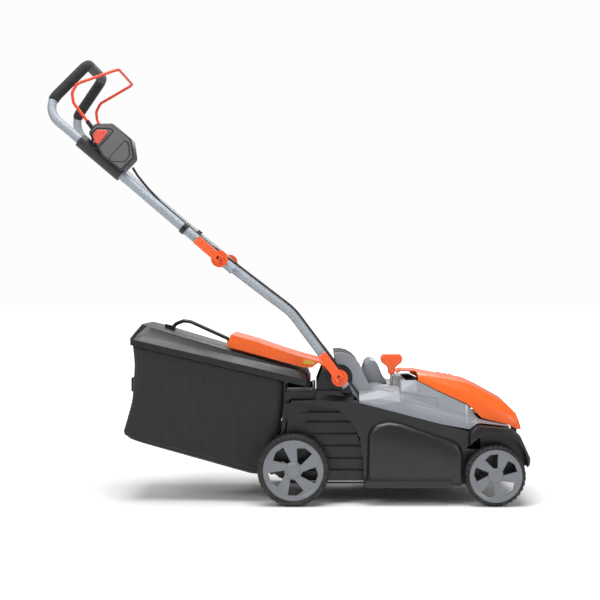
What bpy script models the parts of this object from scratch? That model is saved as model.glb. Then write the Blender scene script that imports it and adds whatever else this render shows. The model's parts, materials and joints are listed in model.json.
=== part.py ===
"""Walk-behind battery rotary mower with a folding handle, grass bag and central height adjustment.

Frame: metres, +X forward, +Y to the mower's left, +Z up, ground at Z = 0, centred on the machine in X and Y.
Nodes ending in _right lie at -Y, nodes ending in _left at +Y.
"""

from math import atan2, cos, hypot, pi, radians, sin, tan

import bmesh
import bpy
from mathutils import Matrix, Vector
from mathutils.geometry import tessellate_polygon

# ---- driving dimensions -------------------------------------------------------------------------
GAP = 0.0004  # clearance left between pieces that touch
RIGHT, LEFT = -1, 1
SIDES = {RIGHT: "right", LEFT: "left"}

WHEEL_FACE_Y = 0.190  # outer face of all four wheels
REAR_WHEEL = {"x": 0.010, "r": 0.083, "rim": 0.070, "width": 0.037, "spoke": radians(-17)}
FRONT_WHEEL = {"x": 0.475, "r": 0.070, "rim": 0.061, "width": 0.031, "spoke": radians(26)}
TYRE_SIDES = 28
AXLE_R = 0.005
AXLE_ARM_Y = 0.1455  # centre of the crank arms, between the deck and the wheels
CRANK_R = 0.030
CRANK_HALF_SWING = radians(21.4)
LINK_ARM = 0.0575
LINK_LEAN = radians(52)  # forward lean of the upright link arms at rest
LINK_HALF = 0.004  # half height of the link bar
LINK_Y = -0.104  # inner face of the link bar, on the right of the machine

BLADE_X = 0.280
BLADE_R = 0.145
BLADE_Z = 0.062
CHAMBER_R = 0.153
CHAMBER_TOP = 0.112

PIVOT = Vector((0.117, 0.293))  # lower handle pivot (x, z)
BEND = Vector((0.004, 0.444))  # where the lower tubes bend
CLAMP = Vector((-0.160, 0.569))  # folding clamp between lower and upper handle
TUBE_R = 0.0105
LOWER_TUBE_R = 0.010
TUBE_WALL = 0.0015
UPPER_Y = 0.162
LOWER_Y = 0.1405
GRIP_R = 0.0125
LEG_SLOPE = radians(40.4)
LEG_LENGTH = 0.466  # clamp to the start of the grip loop's bend
GRIP_SLOPE = radians(45.5)
GRIP_HALF_WIDTH = 0.100

BAG_SLOPE = radians(13.2)
HOOD_HINGE = Vector((0.530, 0.176))
FLAP_HINGE = Vector((0.0845, 0.2985))


# ---- small tools --------------------------------------------------------------------------------
def clear_scene():
    for obj in list(bpy.data.objects):
        bpy.data.objects.remove(obj, do_unlink=True)


def material(name, colour, roughness, metallic=0.0):
    made = bpy.data.materials.new(name)
    made.use_nodes = True
    shader = made.node_tree.nodes["Principled BSDF"]
    shader.inputs["Base Color"].default_value = (*colour, 1.0)
    shader.inputs["Roughness"].default_value = roughness
    shader.inputs["Metallic"].default_value = metallic
    return made


def add(name, points, faces, paint, sharp=35):
    """A mesh object from points and faces, doubles merged and normals pointing out."""
    mesh = bpy.data.meshes.new(name)
    bm = bmesh.new()
    verts = [bm.verts.new(p) for p in points]
    for face in faces:
        corners = [verts[i] for i in face]
        if len(set(corners)) > 2:
            bm.faces.new(corners)
    bmesh.ops.remove_doubles(bm, verts=bm.verts, dist=1e-6)
    bmesh.ops.recalc_face_normals(bm, faces=bm.faces)
    bm.to_mesh(mesh)
    bm.free()
    mesh.shade_smooth()
    mesh.set_sharp_from_angle(angle=radians(sharp))
    mesh.materials.append(paint)
    obj = bpy.data.objects.new(name, mesh)
    bpy.context.scene.collection.objects.link(obj)
    return obj


def prism(name, outline, low, high, paint):
    """A side outline of (x, z) carried from y = low to y = high."""
    n = len(outline)
    points = [(x, low, z) for x, z in outline] + [(x, high, z) for x, z in outline]
    faces = [range(n), range(n, 2 * n)]
    faces += [(i, (i + 1) % n, n + (i + 1) % n, n + i) for i in range(n)]
    return add(name, points, [tuple(f) for f in faces], paint)


def flared(name, outline, paint):
    """A side outline of (x, z, half width), so that the two sides lean as the widths say."""
    n = len(outline)
    points = [(x, -w, z) for x, z, w in outline] + [(x, w, z) for x, z, w in outline]
    faces = [(i, (i + 1) % n, n + (i + 1) % n, n + i) for i in range(n)]
    for a, b, c in tessellate_polygon([[Vector((x, z, 0)) for x, z, _ in outline]]):
        faces += [(a, b, c), (n + a, n + b, n + c)]
    return add(name, points, faces, paint)


def plan_prism(name, outline, low, high, paint):
    """A plan outline of (x, y) carried from z = low to z = high."""
    n = len(outline)
    points = [(x, y, low) for x, y in outline] + [(x, y, high) for x, y in outline]
    faces = [tuple(range(n)), tuple(range(n, 2 * n))]
    faces += [(i, (i + 1) % n, n + (i + 1) % n, n + i) for i in range(n)]
    return add(name, points, faces, paint)


def box(name, x, y, z, paint, bevel=0.0):
    """A block between the two values of each axis, with rounded edges if bevel is given."""
    obj = prism(name, [(x[0], z[0]), (x[1], z[0]), (x[1], z[1]), (x[0], z[1])], *y, paint)
    if bevel:
        soften(obj, bevel)
    return obj


def soften(obj, width, segments=2, angle=30):
    made = obj.modifiers.new("soft edges", "BEVEL")
    made.width = width
    made.segments = segments
    made.limit_method = "ANGLE"
    made.angle_limit = radians(angle)
    return obj


def lathe(name, profile, sides, centre, paint, axis="Y", closed=True, phase=0.5):
    """A profile of (radius, offset) turned about an axis through centre; closed profiles make rings."""
    rings = []
    for k in range(sides):
        turn = 2 * pi * (k + phase) / sides
        a, b = sin(turn), -cos(turn)
        if axis == "Y":
            rings.append([(centre[0] + r * a, centre[1] + t, centre[2] + r * b) for r, t in profile])
        else:
            rings.append([(centre[0] + r * a, centre[1] + r * b, centre[2] + t) for r, t in profile])
    n = len(profile)
    points = [p for ring in rings for p in ring]
    faces = []
    for k in range(sides):
        here, there = k * n, ((k + 1) % sides) * n
        for i in range(n if closed else n - 1):
            j = (i + 1) % n
            faces.append((here + i, here + j, there + j, there + i))
    return add(name, points, faces, paint)


def disc(name, radius, low, high, sides, centre, paint, axis="Y", phase=0.5):
    profile = [(0, low), (radius, low), (radius, high), (0, high)]
    return lathe(name, profile, sides, centre, paint, axis, closed=False, phase=phase)


def rounded(corners, radius, step=15):
    """The points of a route through corners, each inner corner replaced by an arc of its radius."""
    corners = [Vector(c) for c in corners]
    radii = radius if isinstance(radius, (list, tuple)) else [radius] * (len(corners) - 2)
    route = [corners[0]]
    for before, here, after, r in zip(corners, corners[1:], corners[2:], radii):
        into, out = (here - before).normalized(), (after - here).normalized()
        turn = into.angle(out)
        if turn < 1e-4:
            continue
        reach = r * tan(turn / 2)
        axis = into.cross(out).normalized()
        side = axis.cross(into)
        centre = here - into * reach + side * r
        count = max(2, round(turn / radians(step)))
        for k in range(count + 1):
            spin = Matrix.Rotation(turn * k / count, 3, axis)
            route.append(centre + spin @ (-side * r))
    route.append(corners[-1])
    return route


def sweep(name, route, radius, sides, paint, bore=0.0):
    """A round bar, or a pipe if bore is given, along a route of points."""
    route = [Vector(p) for p in route]
    n = len(route)
    heading = [(route[min(i + 1, n - 1)] - route[max(i - 1, 0)]).normalized() for i in range(n)]
    side = heading[0].orthogonal().normalized()
    points = []
    loops = [radius, bore] if bore else [radius]
    for i, at in enumerate(route):
        side = (side - heading[i] * side.dot(heading[i])).normalized()
        other = heading[i].cross(side)
        for r in loops:
            for k in range(sides):
                turn = 2 * pi * k / sides
                points.append(at + (side * cos(turn) + other * sin(turn)) * r)
    width = sides * len(loops)
    faces = []
    for i in range(n - 1):
        for which in range(len(loops)):
            start = i * width + which * sides
            for k in range(sides):
                j = (k + 1) % sides
                faces.append((start + k, start + j, start + width + j, start + width + k))
    for first in (0, (n - 1) * width):
        if bore:
            for k in range(sides):
                j = (k + 1) % sides
                faces.append((first + k, first + j, first + sides + j, first + sides + k))
        else:
            faces.append(tuple(range(first, first + sides)))
    return add(name, points, faces, paint)


def shell(name, rows, thickness, paint):
    """A sheet through rows of points, given a wall by Solidify on the inner side."""
    wide = len(rows[0])
    points = [p for row in rows for p in row]
    faces = []
    for i in range(len(rows) - 1):
        for k in range(wide - 1):
            a = i * wide + k
            faces.append((a, a + 1, a + wide + 1, a + wide))
    obj = add(name, points, faces, paint)
    wall = obj.modifiers.new("wall", "SOLIDIFY")
    wall.thickness = thickness
    wall.offset = -1
    wall.use_even_offset = False
    return obj


def hide(obj):
    obj.hide_render = True
    obj.display_type = "WIRE"


def cut(target, tool):
    made = target.modifiers.new("cut " + tool.name, "BOOLEAN")
    made.operation = "DIFFERENCE"
    made.object = tool
    hide(tool)


def join(target, other):
    made = target.modifiers.new("join " + other.name, "BOOLEAN")
    made.operation = "UNION"
    made.object = other
    hide(other)


def mirrored(outline, side):
    """(low, high) pairs of y for one side of the machine."""
    return sorted((outline[0] * side, outline[1] * side))


def arc(centre, radius, start, end, count):
    """(x, z) points on an arc, angles in degrees from +X towards +Z."""
    turns = [radians(start + (end - start) * k / count) for k in range(count + 1)]
    return [(centre[0] + radius * cos(t), centre[1] + radius * sin(t)) for t in turns]


clear_scene()
BLACK = material("black_plastic", (0.022, 0.022, 0.024), 0.5)
SILVER = material("silver_plastic", (0.30, 0.32, 0.34), 0.42)
ORANGE = material("orange_plastic", (0.90, 0.16, 0.02), 0.35)
STEEL = material("bright_steel", (0.60, 0.60, 0.60), 0.3, 1.0)
TUBE = material("tube_paint", (0.48, 0.51, 0.54), 0.32, 0.6)
FOAM = material("grip_foam", (0.02, 0.02, 0.02), 0.9)
RUBBER = material("tyre_rubber", (0.03, 0.03, 0.03), 0.8)
RIM = material("rim_silver", (0.33, 0.35, 0.37), 0.4)
CLOTH = material("bag_cloth", (0.02, 0.02, 0.022), 0.9)
RED = material("button_red", (0.75, 0.05, 0.03), 0.35)
CABLE = material("cable_black", (0.02, 0.02, 0.02), 0.6)
MOTOR = material("motor_case", (0.10, 0.10, 0.11), 0.5, 0.5)


# ---- wheels -------------------------------------------------------------------------------------
def wheel(end, spec, side):
    """Tyre and five-spoke rim of one wheel, each its own node."""
    tag = f"{end}_{SIDES[side]}"
    face, seat = WHEEL_FACE_Y, spec["rim"]
    r = spec["r"] / cos(pi / TYRE_SIDES)
    inner = face - spec["width"]
    centre = (spec["x"], 0.0, spec["r"])
    tyre = [(seat + GAP, inner), (r - 0.004, inner), (r, inner + 0.006), (r, face - 0.007),
            (r - 0.003, face - 0.0015), (seat + GAP, face - 0.0015)]
    lathe(f"tyre_{tag}", [(a, b * side) for a, b in tyre], TYRE_SIDES, centre, RUBBER)
    web = face - 0.009
    rim = [(0, face - 0.0045), (0.0059, face - 0.0045), (0.0059, inner + 0.002), (0.015, inner + 0.002),
           (0.017, web), (seat - 0.007, web), (seat - 0.004, inner + 0.004), (seat, inner + 0.001),
           (seat, face - 0.002), (seat - 0.006, face), (seat - 0.012, face - 0.003), (0.018, face - 0.004),
           (0.013, face - 0.001), (0, face - 0.001)]
    rim = lathe(f"rim_{tag}", [(a, b * side) for a, b in rim], TYRE_SIDES, centre, RIM, closed=False)
    low, high = 0.30 * seat, 0.83 * seat
    for k in range(5):
        lean = 2 * pi * k / 5 + spec["spoke"]
        shape = [(low, -0.35), (low, 0.14), (0.74 * seat, 0.46), (high, 0.12), (high, -0.24)]
        window = [(centre[0] + a * cos(lean + b), centre[2] + a * sin(lean + b)) for a, b in shape]
        cut(rim, prism(f"window_{tag}_{k}", window, *mirrored((web - 0.01, face + 0.01), side), BLACK))


# ---- height adjustment: cranked axles, link and lever -------------------------------------------
def crank_pivot(spec):
    """(x, z) of the axle's turning line: the arm points forward and down to the wheel."""
    return Vector((spec["x"] - CRANK_R * cos(CRANK_HALF_SWING), spec["r"] + CRANK_R * sin(CRANK_HALF_SWING)))


def link_pin(spec):
    """(x, z) of the tip of the axle's upright link arm."""
    at = crank_pivot(spec)
    return Vector((at.x + LINK_ARM * sin(LINK_LEAN), at.y + LINK_ARM * cos(LINK_LEAN)))


def cranked_axle(end, spec):
    at = crank_pivot(spec)
    stub = WHEEL_FACE_Y - 0.005
    corners = [(spec["x"], -stub, spec["r"]), (spec["x"], -AXLE_ARM_Y, spec["r"]), (at.x, -AXLE_ARM_Y, at.y),
               (at.x, AXLE_ARM_Y, at.y), (spec["x"], AXLE_ARM_Y, spec["r"]), (spec["x"], stub, spec["r"])]
    axle = sweep(f"{end}_axle", rounded(corners, 0.007, 30), AXLE_R, 10, STEEL)
    pin = link_pin(spec)
    along = (pin - at).normalized()
    edge = Vector((along.y, -along.x)) * 0.006
    tip, root = pin + along * LINK_HALF, at - along * 0.008
    arm = [root - edge, root + edge, tip + edge * 0.7, tip - edge * 0.7]
    join(axle, prism(f"{end}_link_arm", [tuple(p) for p in arm], LINK_Y + GAP, LINK_Y + 0.005, STEEL))


def slope_of(v):
    return atan2(v.y, v.x) * 180 / pi


def height_link():
    """Flat bar between the two link arms, with rounded ends."""
    a, b = link_pin(REAR_WHEEL), link_pin(FRONT_WHEEL)
    tilt = slope_of(b - a)
    outline = arc(a, LINK_HALF, tilt + 90, tilt + 270, 4) + arc(b, LINK_HALF, tilt - 90, tilt + 90, 4)
    prism("height_link", outline, LINK_Y - 0.003, LINK_Y, STEEL)


LEVER_PIVOT = Vector((0.242, 0.215))
LEVER_Y = -0.080
KNOB_TOP = 0.345


def height_lever():
    """Flat steel lever with a round neck above the cover and a T-knob on top."""
    x = LEVER_PIVOT.x
    rear, front = link_pin(REAR_WHEEL), link_pin(FRONT_WHEEL)
    foot = rear + (front - rear) * (x - rear.x) / (front.x - rear.x)
    blade = [(x - 0.006, LEVER_PIVOT.y + 0.010), (x - 0.007, foot.y - 0.005), (x + 0.007, foot.y - 0.005),
             (x + 0.006, LEVER_PIVOT.y + 0.010)]
    lever = prism("height_lever", blade, LEVER_Y - 0.002, LEVER_Y + 0.002, STEEL)
    neck = [(x, LEVER_Y, LEVER_PIVOT.y), (x, LEVER_Y, 0.312)]
    join(lever, sweep("lever_neck", neck, 0.0035, 10, STEEL))
    toe = [(x, LEVER_Y, foot.y + 0.002), (x, LINK_Y + GAP, foot.y + 0.002)]
    join(lever, sweep("lever_toe", toe, 0.004, 10, STEEL))
    axle = [(x, LEVER_Y, LEVER_PIVOT.y), (x, LEVER_Y + 0.018, LEVER_PIVOT.y)]
    join(lever, sweep("lever_axle", axle, 0.004, 10, STEEL))
    half = [(0.007, 0.296), (0.009, 0.314), (0.024, 0.325), (0.0265, 0.336), (0.021, KNOB_TOP)]
    shape = [(x + w, z) for w, z in half] + [(x - w, z) for w, z in reversed(half)]
    knob = prism("height_knob", shape, LEVER_Y - 0.012, LEVER_Y + 0.012, ORANGE)
    soften(knob, 0.004)
    socket = [(x, LEVER_Y, 0.28), (x, LEVER_Y, 0.3125)]
    cut(knob, sweep("knob_socket", socket, 0.0035 + GAP, 10, ORANGE))


for _end, _spec in (("rear", REAR_WHEEL), ("front", FRONT_WHEEL)):
    for _side in (RIGHT, LEFT):
        wheel(_end, _spec, _side)
    cranked_axle(_end, _spec)
height_link()
height_lever()

# ---- deck ---------------------------------------------------------------------------------------
SIDE_Y = 0.160  # side panels between the wheels
CHEEK_Y = 0.137  # narrow rear part between the rear wheels
EAR_Y = 0.1255
EAR_IN_Y = 0.106
FENDER_Y = 0.180
BULGE_Y = 0.176
DECK_LOW = 0.044
DECK_TOP = 0.2615  # flat top between the ears
ARCH_CLEAR = 0.0055
WHEEL_LIFT = 2 * CRANK_R * sin(CRANK_HALF_SWING)
LINK_WAY = (LINK_Y - 0.006, LINK_Y + 0.007)


def link_way():
    """Outline of the room that the link bar sweeps between the highest and the lowest cut."""
    room = LINK_HALF + 0.0008
    ends = []
    for spec in (REAR_WHEEL, FRONT_WHEEL):
        at, high = crank_pivot(spec), link_pin(spec)
        turn = LINK_LEAN - 2 * CRANK_HALF_SWING
        ends.append((high, at + Vector((sin(turn), cos(turn))) * LINK_ARM))
    (rear, rear_low), (front, front_low) = ends
    return [(rear_low.x - 2 * room, rear.y + 0.001 - room), (front.x + 2 * room, front.y - room),
            (front.x + 2 * room, front_low.y + room), (rear_low.x - 2 * room, rear_low.y + room)]


def deck():
    """Lower housing: blade chamber, motor space, rear chute, wheel arches and handle ears in one casting."""
    w, n = SIDE_Y, EAR_Y
    outline = [(0.174, DECK_LOW, w), (0.171, 0.104, w), (0.164, 0.154, w), (0.146, 0.1895, w),
               (0.111, 0.222, w), (0.060, 0.232, w), (0.0045, 0.234, w), (0.0045, 0.2405, w),
               (0.0634, 0.242, w), (0.0634, 0.262, n), (0.0634, 0.275, n), (0.0780, 0.3120, n)]
    outline += [(x, z, n) for x, z in arc(PIVOT, 0.0308, 145, -40, 8)]
    outline += [(0.1475, 0.2545, n), (0.162, 0.236, w), (0.419, 0.169, w), (0.456, 0.1593, w),
                (0.456, DECK_LOW, w)]
    body = flared("deck", outline, BLACK)

    rear = [(0.20, 0.052), (0.20, 0.20), (0.115, 0.262), (0.0634, 0.262), (0.0634, 0.235), (0.0045, 0.235),
            (-0.007, 0.169), (-0.034, 0.112), (-0.034, 0.070), (-0.010, 0.052)]
    join(body, prism("deck_rear", rear, -CHEEK_Y, CHEEK_Y, BLACK))
    fender = [(0.417, 0.1695), (0.4355, 0.1860), (0.512, 0.1770), (0.531, 0.1655), (0.556, 0.1100),
              (0.556, 0.094), (0.548, 0.086), (0.540, 0.060), (0.412, 0.060)]
    join(body, soften(prism("deck_fender", fender, -FENDER_Y, FENDER_Y, BLACK), 0.006))
    bulge = [(0.180, 0.048), (0.182, 0.165), (0.196, 0.187), (0.229, 0.1935), (0.2586, 0.1895),
             (0.317, 0.169), (0.391, 0.145), (0.403, 0.121), (0.406, 0.048)]
    join(body, soften(prism("deck_bulge", bulge, -BULGE_Y, BULGE_Y, BLACK), 0.0145, 3))
    join(body, box("deck_skirt", (0.176, 0.374), (-0.1795, 0.1795), (0.042, 0.0585), BLACK))

    cut(body, disc("cut_chamber", CHAMBER_R, -0.02, CHAMBER_TOP, 32, (BLADE_X, 0, 0), BLACK, "Z"))
    motor_space = [(0.1745, 0.1165), (0.446, 0.1165), (0.446, 0.30), (0.1505, 0.30), (0.1505, 0.177),
                   (0.154, 0.172)]
    cut(body, prism("cut_motor_space", motor_space, -0.150, 0.150, BLACK))
    cut(body, box("cut_front_below", (0.4575, 0.546), (-0.133, 0.133), (-0.02, 0.135), BLACK))
    cut(body, box("cut_front_above", (0.440, 0.5225), (-0.133, 0.133), (0.139, 0.25), BLACK))
    cut(body, box("cut_front_lip", (0.500, 0.570), (-0.1225, 0.1225), (0.1585, 0.25), BLACK))
    chute = [(0.215, 0.064), (0.215, 0.1119), (0.170, 0.1119), (0.150, 0.170), (0.078, 0.2575),
             (-0.06, 0.2575), (-0.06, 0.146), (0.030, 0.130), (0.100, 0.102), (0.135, 0.064)]
    cut(body, prism("cut_chute", chute, -0.090, 0.090, BLACK))
    between_ears = [(0.04, DECK_TOP), (0.30, DECK_TOP), (0.30, 0.36), (0.04, 0.36)]
    cut(body, prism("cut_between_ears", between_ears, -EAR_IN_Y, EAR_IN_Y, BLACK))
    under = [(0.000, 0.03), (0.100, 0.03), (0.095, 0.093), (0.030, 0.118), (0.000, 0.122)]
    cut(body, prism("cut_under_chute", under, -0.0865, 0.0865, BLACK))
    pocket = [(0.004, 0.03), (0.110, 0.03), (0.110, 0.150), (0.096, 0.180), (0.050, 0.2255), (0.012, 0.2255),
              (0.004, 0.170)]
    arch_r = FRONT_WHEEL["r"] + ARCH_CLEAR
    arch = arc((FRONT_WHEEL["x"], FRONT_WHEEL["r"] + WHEEL_LIFT), arch_r, 0, 180, 12)
    arch += [(FRONT_WHEEL["x"] - arch_r, -0.02), (FRONT_WHEEL["x"] + arch_r, -0.02)]
    for side in (RIGHT, LEFT):
        cut(body, prism(f"cut_cheek_{SIDES[side]}", pocket, *mirrored((0.0935, 0.1335), side), BLACK))
        cut(body, prism(f"cut_arch_{SIDES[side]}", arch, *mirrored((0.139, 0.25), side), BLACK))
        hole = [(PIVOT.x, side * 0.10, PIVOT.y), (PIVOT.x, side * 0.14, PIVOT.y)]
        cut(body, sweep(f"cut_pivot_{SIDES[side]}", hole, 0.0036, 10, BLACK))
    for end, spec in (("rear", REAR_WHEEL), ("front", FRONT_WHEEL)):
        at = crank_pivot(spec)
        line = [(at.x, -0.2, at.y), (at.x, 0.2, at.y)]
        cut(body, sweep(f"cut_axle_{end}", line, AXLE_R + 0.0008, 12, BLACK))
        cut(body, box(f"cut_arm_{end}", (at.x - 0.014, at.x + 0.058), LINK_WAY, (at.y - 0.011, at.y + 0.066),
                      BLACK))
    cut(body, prism("cut_link_way", link_way(), *LINK_WAY, BLACK))
    cut(body, disc("cut_shaft", 0.012, 0.09, 0.13, 16, (BLADE_X, 0, 0), BLACK, "Z"))
    line = [(FLAP_HINGE.x, -0.1185, FLAP_HINGE.y), (FLAP_HINGE.x, 0.1185, FLAP_HINGE.y)]
    cut(body, sweep("cut_flap_rod", line, 0.0034, 10, BLACK))
    bracket = [(0.5235, 0.150), (0.5365, 0.150), (0.5365, 0.182), (0.5235, 0.182)]
    for side in (RIGHT, LEFT):
        lug = prism(f"hood_lug_{SIDES[side]}", bracket, *mirrored((0.094, 0.104), side), BLACK)
        join(body, lug)
    line = [(HOOD_HINGE.x, -0.12, HOOD_HINGE.y), (HOOD_HINGE.x, 0.12, HOOD_HINGE.y)]
    cut(body, sweep("cut_hood_rod", line, 0.0029, 10, BLACK))


def lever_bracket():
    """Post on the deck roof that carries the height lever's axle."""
    post = box("lever_bracket", (0.230, 0.254), (-0.072, -0.066), (0.1165 + GAP, 0.226), STEEL)
    join(post, box("lever_bracket_foot", (0.230, 0.254), (-0.072, -0.050), (0.1165 + GAP, 0.1195), STEEL))
    line = [(LEVER_PIVOT.x, -0.08, LEVER_PIVOT.y), (LEVER_PIVOT.x, -0.05, LEVER_PIVOT.y)]
    cut(post, sweep("cut_lever_axle", line, 0.0044, 10, STEEL))


deck()
lever_bracket()

# ---- cover --------------------------------------------------------------------------------------
RING_IN = 0.0312
RING_OUT = 0.057
RING_Y = 0.130


def across(x, half):
    """A row of points over the machine at one x from its right half, given as (y, z) from edge to centre."""
    right = [(x, -y, z) for y, z in half]
    left = [(x, y, z) for y, z in reversed(half[:-1])]
    return right + left


def body_cover():
    """Silver upper cover: side skirts, shoulders, handle rings, carry handle and the open battery bay."""
    rows = [
        across(0.1625, [(0.160, 0.2364), (0.160, 0.2420), (0.148, 0.2520), (0.130, 0.2600), (0.107, 0.2680),
                        (0, 0.288)]),
        across(0.2050, [(0.160, 0.2252), (0.160, 0.2312), (0.152, 0.2450), (0.134, 0.2620), (0.112, 0.2740),
                        (0, 0.284)]),
        across(0.2570, [(0.160, 0.2117), (0.160, 0.2180), (0.154, 0.2370), (0.139, 0.2580), (0.120, 0.2700),
                        (0, 0.270)]),
        across(0.2620, [(0.160, 0.2104), (0.160, 0.2168), (0.154, 0.2370), (0.140, 0.2620), (0.122, 0.2840),
                        (0, 0.284)]),
        across(0.2980, [(0.160, 0.2010), (0.160, 0.2075), (0.155, 0.2270), (0.142, 0.2560), (0.123, 0.2850),
                        (0, 0.285)]),
        across(0.3520, [(0.160, 0.1869), (0.160, 0.1935), (0.157, 0.2100), (0.146, 0.2340), (0.128, 0.2580),
                        (0, 0.258)]),
        across(0.4180, [(0.160, 0.1750), (0.160, 0.1790), (0.158, 0.1880), (0.149, 0.2060), (0.131, 0.2280),
                        (0, 0.228)]),
        across(0.4350, [(0.160, 0.1875), (0.160, 0.1890), (0.157, 0.1920), (0.149, 0.1970), (0.131, 0.2040),
                        (0, 0.204)]),
        across(0.4450, [(0.158, 0.1886), (0.158, 0.1900), (0.153, 0.1912), (0.146, 0.1926), (0.131, 0.1955),
                        (0, 0.1955)]),
        across(0.5120, [(0.150, 0.1804), (0.150, 0.1810), (0.146, 0.1812), (0.140, 0.1814), (0.128, 0.1816),
                        (0, 0.1816)]),
    ]
    cover = shell("body_cover", rows, 0.003, SILVER)
    ring = arc(PIVOT, RING_IN, 104, -40, 9) + [(0.1481, 0.2549), (0.1628, 0.2372), (0.2050, 0.2262),
                                               (0.2110, 0.2400)]
    ring += [(0.1860, 0.2780), (0.1710, 0.3080)] + arc(PIVOT, RING_OUT, 18, 101, 5)
    for side in (RIGHT, LEFT):
        join(cover, prism(f"cover_ring_{SIDES[side]}", ring, *mirrored((EAR_IN_Y, RING_Y), side), SILVER))
    roof = [(0.126, DECK_TOP + 0.001), (0.176, 0.2800), (0.176, 0.2855), (0.122, 0.2675),
            (0.122, DECK_TOP + 0.001)]
    join(cover, prism("cover_roof", roof, -0.1055, 0.1055, SILVER))
    hump = [(0.1755, 0.276), (0.177, 0.305), (0.182, 0.323), (0.193, 0.331), (0.204, 0.328), (0.212, 0.317),
            (0.219, 0.298), (0.234, 0.272)]
    join(cover, soften(prism("carry_handle", hump, -0.068, 0.068, SILVER), 0.005))
    cut(cover, box("cut_fingers", (0.170, 0.245), (-0.046, 0.046), (0.2885, 0.3155), SILVER, 0.004))
    cut(cover, box("cut_bay", (0.275, 0.505), (-0.108, 0.108), (0.150, 0.320), SILVER))
    slot = (LEVER_PIVOT.x - 0.0075, 0.2925)
    cut(cover, box("cut_lever_slot", slot, (LEVER_Y - 0.006, LEVER_Y + 0.006), (0.22, 0.320), SILVER))


body_cover()

# ---- battery hood and what lies under it -------------------------------------------------------


def battery_hood():
    """Orange hood over the battery, hinged at the front, with a finger tab at the rear."""
    rows = [
        across(0.256, [(0.116, 0.2880), (0.116, 0.2920), (0.110, 0.2945), (0.095, 0.2970), (0, 0.2990)]),
        across(0.267, [(0.119, 0.2868), (0.119, 0.2920), (0.115, 0.2980), (0.098, 0.3030), (0, 0.3060)]),
        across(0.298, [(0.122, 0.2865), (0.122, 0.2920), (0.119, 0.2970), (0.103, 0.3015), (0, 0.3045)]),
        across(0.352, [(0.127, 0.2600), (0.127, 0.2660), (0.123, 0.2790), (0.106, 0.2910), (0, 0.2960)]),
        across(0.418, [(0.131, 0.2300), (0.131, 0.2370), (0.127, 0.2560), (0.108, 0.2780), (0, 0.2850)]),
        across(0.450, [(0.131, 0.1980), (0.131, 0.2060), (0.127, 0.2360), (0.108, 0.2630), (0, 0.2700)]),
        across(0.511, [(0.128, 0.1830), (0.128, 0.1885), (0.124, 0.2060), (0.106, 0.2290), (0, 0.2365)]),
        across(0.536, [(0.120, 0.1705), (0.120, 0.1770), (0.116, 0.1900), (0.100, 0.2050), (0, 0.2115)]),
        across(0.544, [(0.114, 0.1700), (0.114, 0.1740), (0.110, 0.1790), (0.095, 0.1850), (0, 0.1880)]),
        across(0.545, [(0.113, 0.1695), (0.113, 0.1699), (0.109, 0.1703), (0.094, 0.1707), (0, 0.1710)]),
    ]
    hood = shell("battery_hood", rows, 0.003, ORANGE)
    for side in (RIGHT, LEFT):
        clear = mirrored((0.046, 0.14), side)
        cut(hood, box(f"cut_hood_corner_{SIDES[side]}", (0.24, 0.302), clear, (0.27, 0.32), ORANGE))
        knuckle = arc(HOOD_HINGE, 0.0058, 180, 360, 6) + [(0.5358, 0.205), (0.5242, 0.213)]
        lug = prism(f"hood_knuckle_{SIDES[side]}", knuckle, *mirrored((0.078, 0.0935), side), ORANGE)
        join(hood, lug)
        lug_way = mirrored((0.0938, 0.1046), side)
        cut(hood, box(f"cut_lug_way_{SIDES[side]}", (0.5270, 0.5600), lug_way, (0.15, 0.1836), ORANGE))
    line = [(HOOD_HINGE.x, -0.11, HOOD_HINGE.y), (HOOD_HINGE.x, 0.11, HOOD_HINGE.y)]
    cut(hood, sweep("cut_hood_knuckle", line, 0.0029, 10, ORANGE))
    sweep("hood_hinge_rod", [(HOOD_HINGE.x, -0.1045, HOOD_HINGE.y), (HOOD_HINGE.x, 0.1045, HOOD_HINGE.y)],
          0.0025, 10, STEEL)


def battery():
    floor = 0.1165 + GAP
    tray = box("battery_tray", (0.334, 0.440), (-0.048, 0.048), (floor, 0.205), BLACK)
    cut(tray, box("cut_tray", (0.337, 0.437), (-0.045, 0.045), (0.131, 0.30), BLACK))
    cut(tray, box("cut_tray_base", (0.339, 0.435), (-0.043, 0.043), (0.10, 0.127), BLACK))
    pack = box("battery_pack", (0.3375, 0.4365), (-0.0445, 0.0445), (0.131 + GAP, 0.232), BLACK, 0.005)
    grip = [(0.352, 0.231), (0.356, 0.251), (0.414, 0.251), (0.422, 0.231)]
    join(pack, soften(prism("battery_grip", grip, -0.014, 0.014, BLACK), 0.003))


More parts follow.
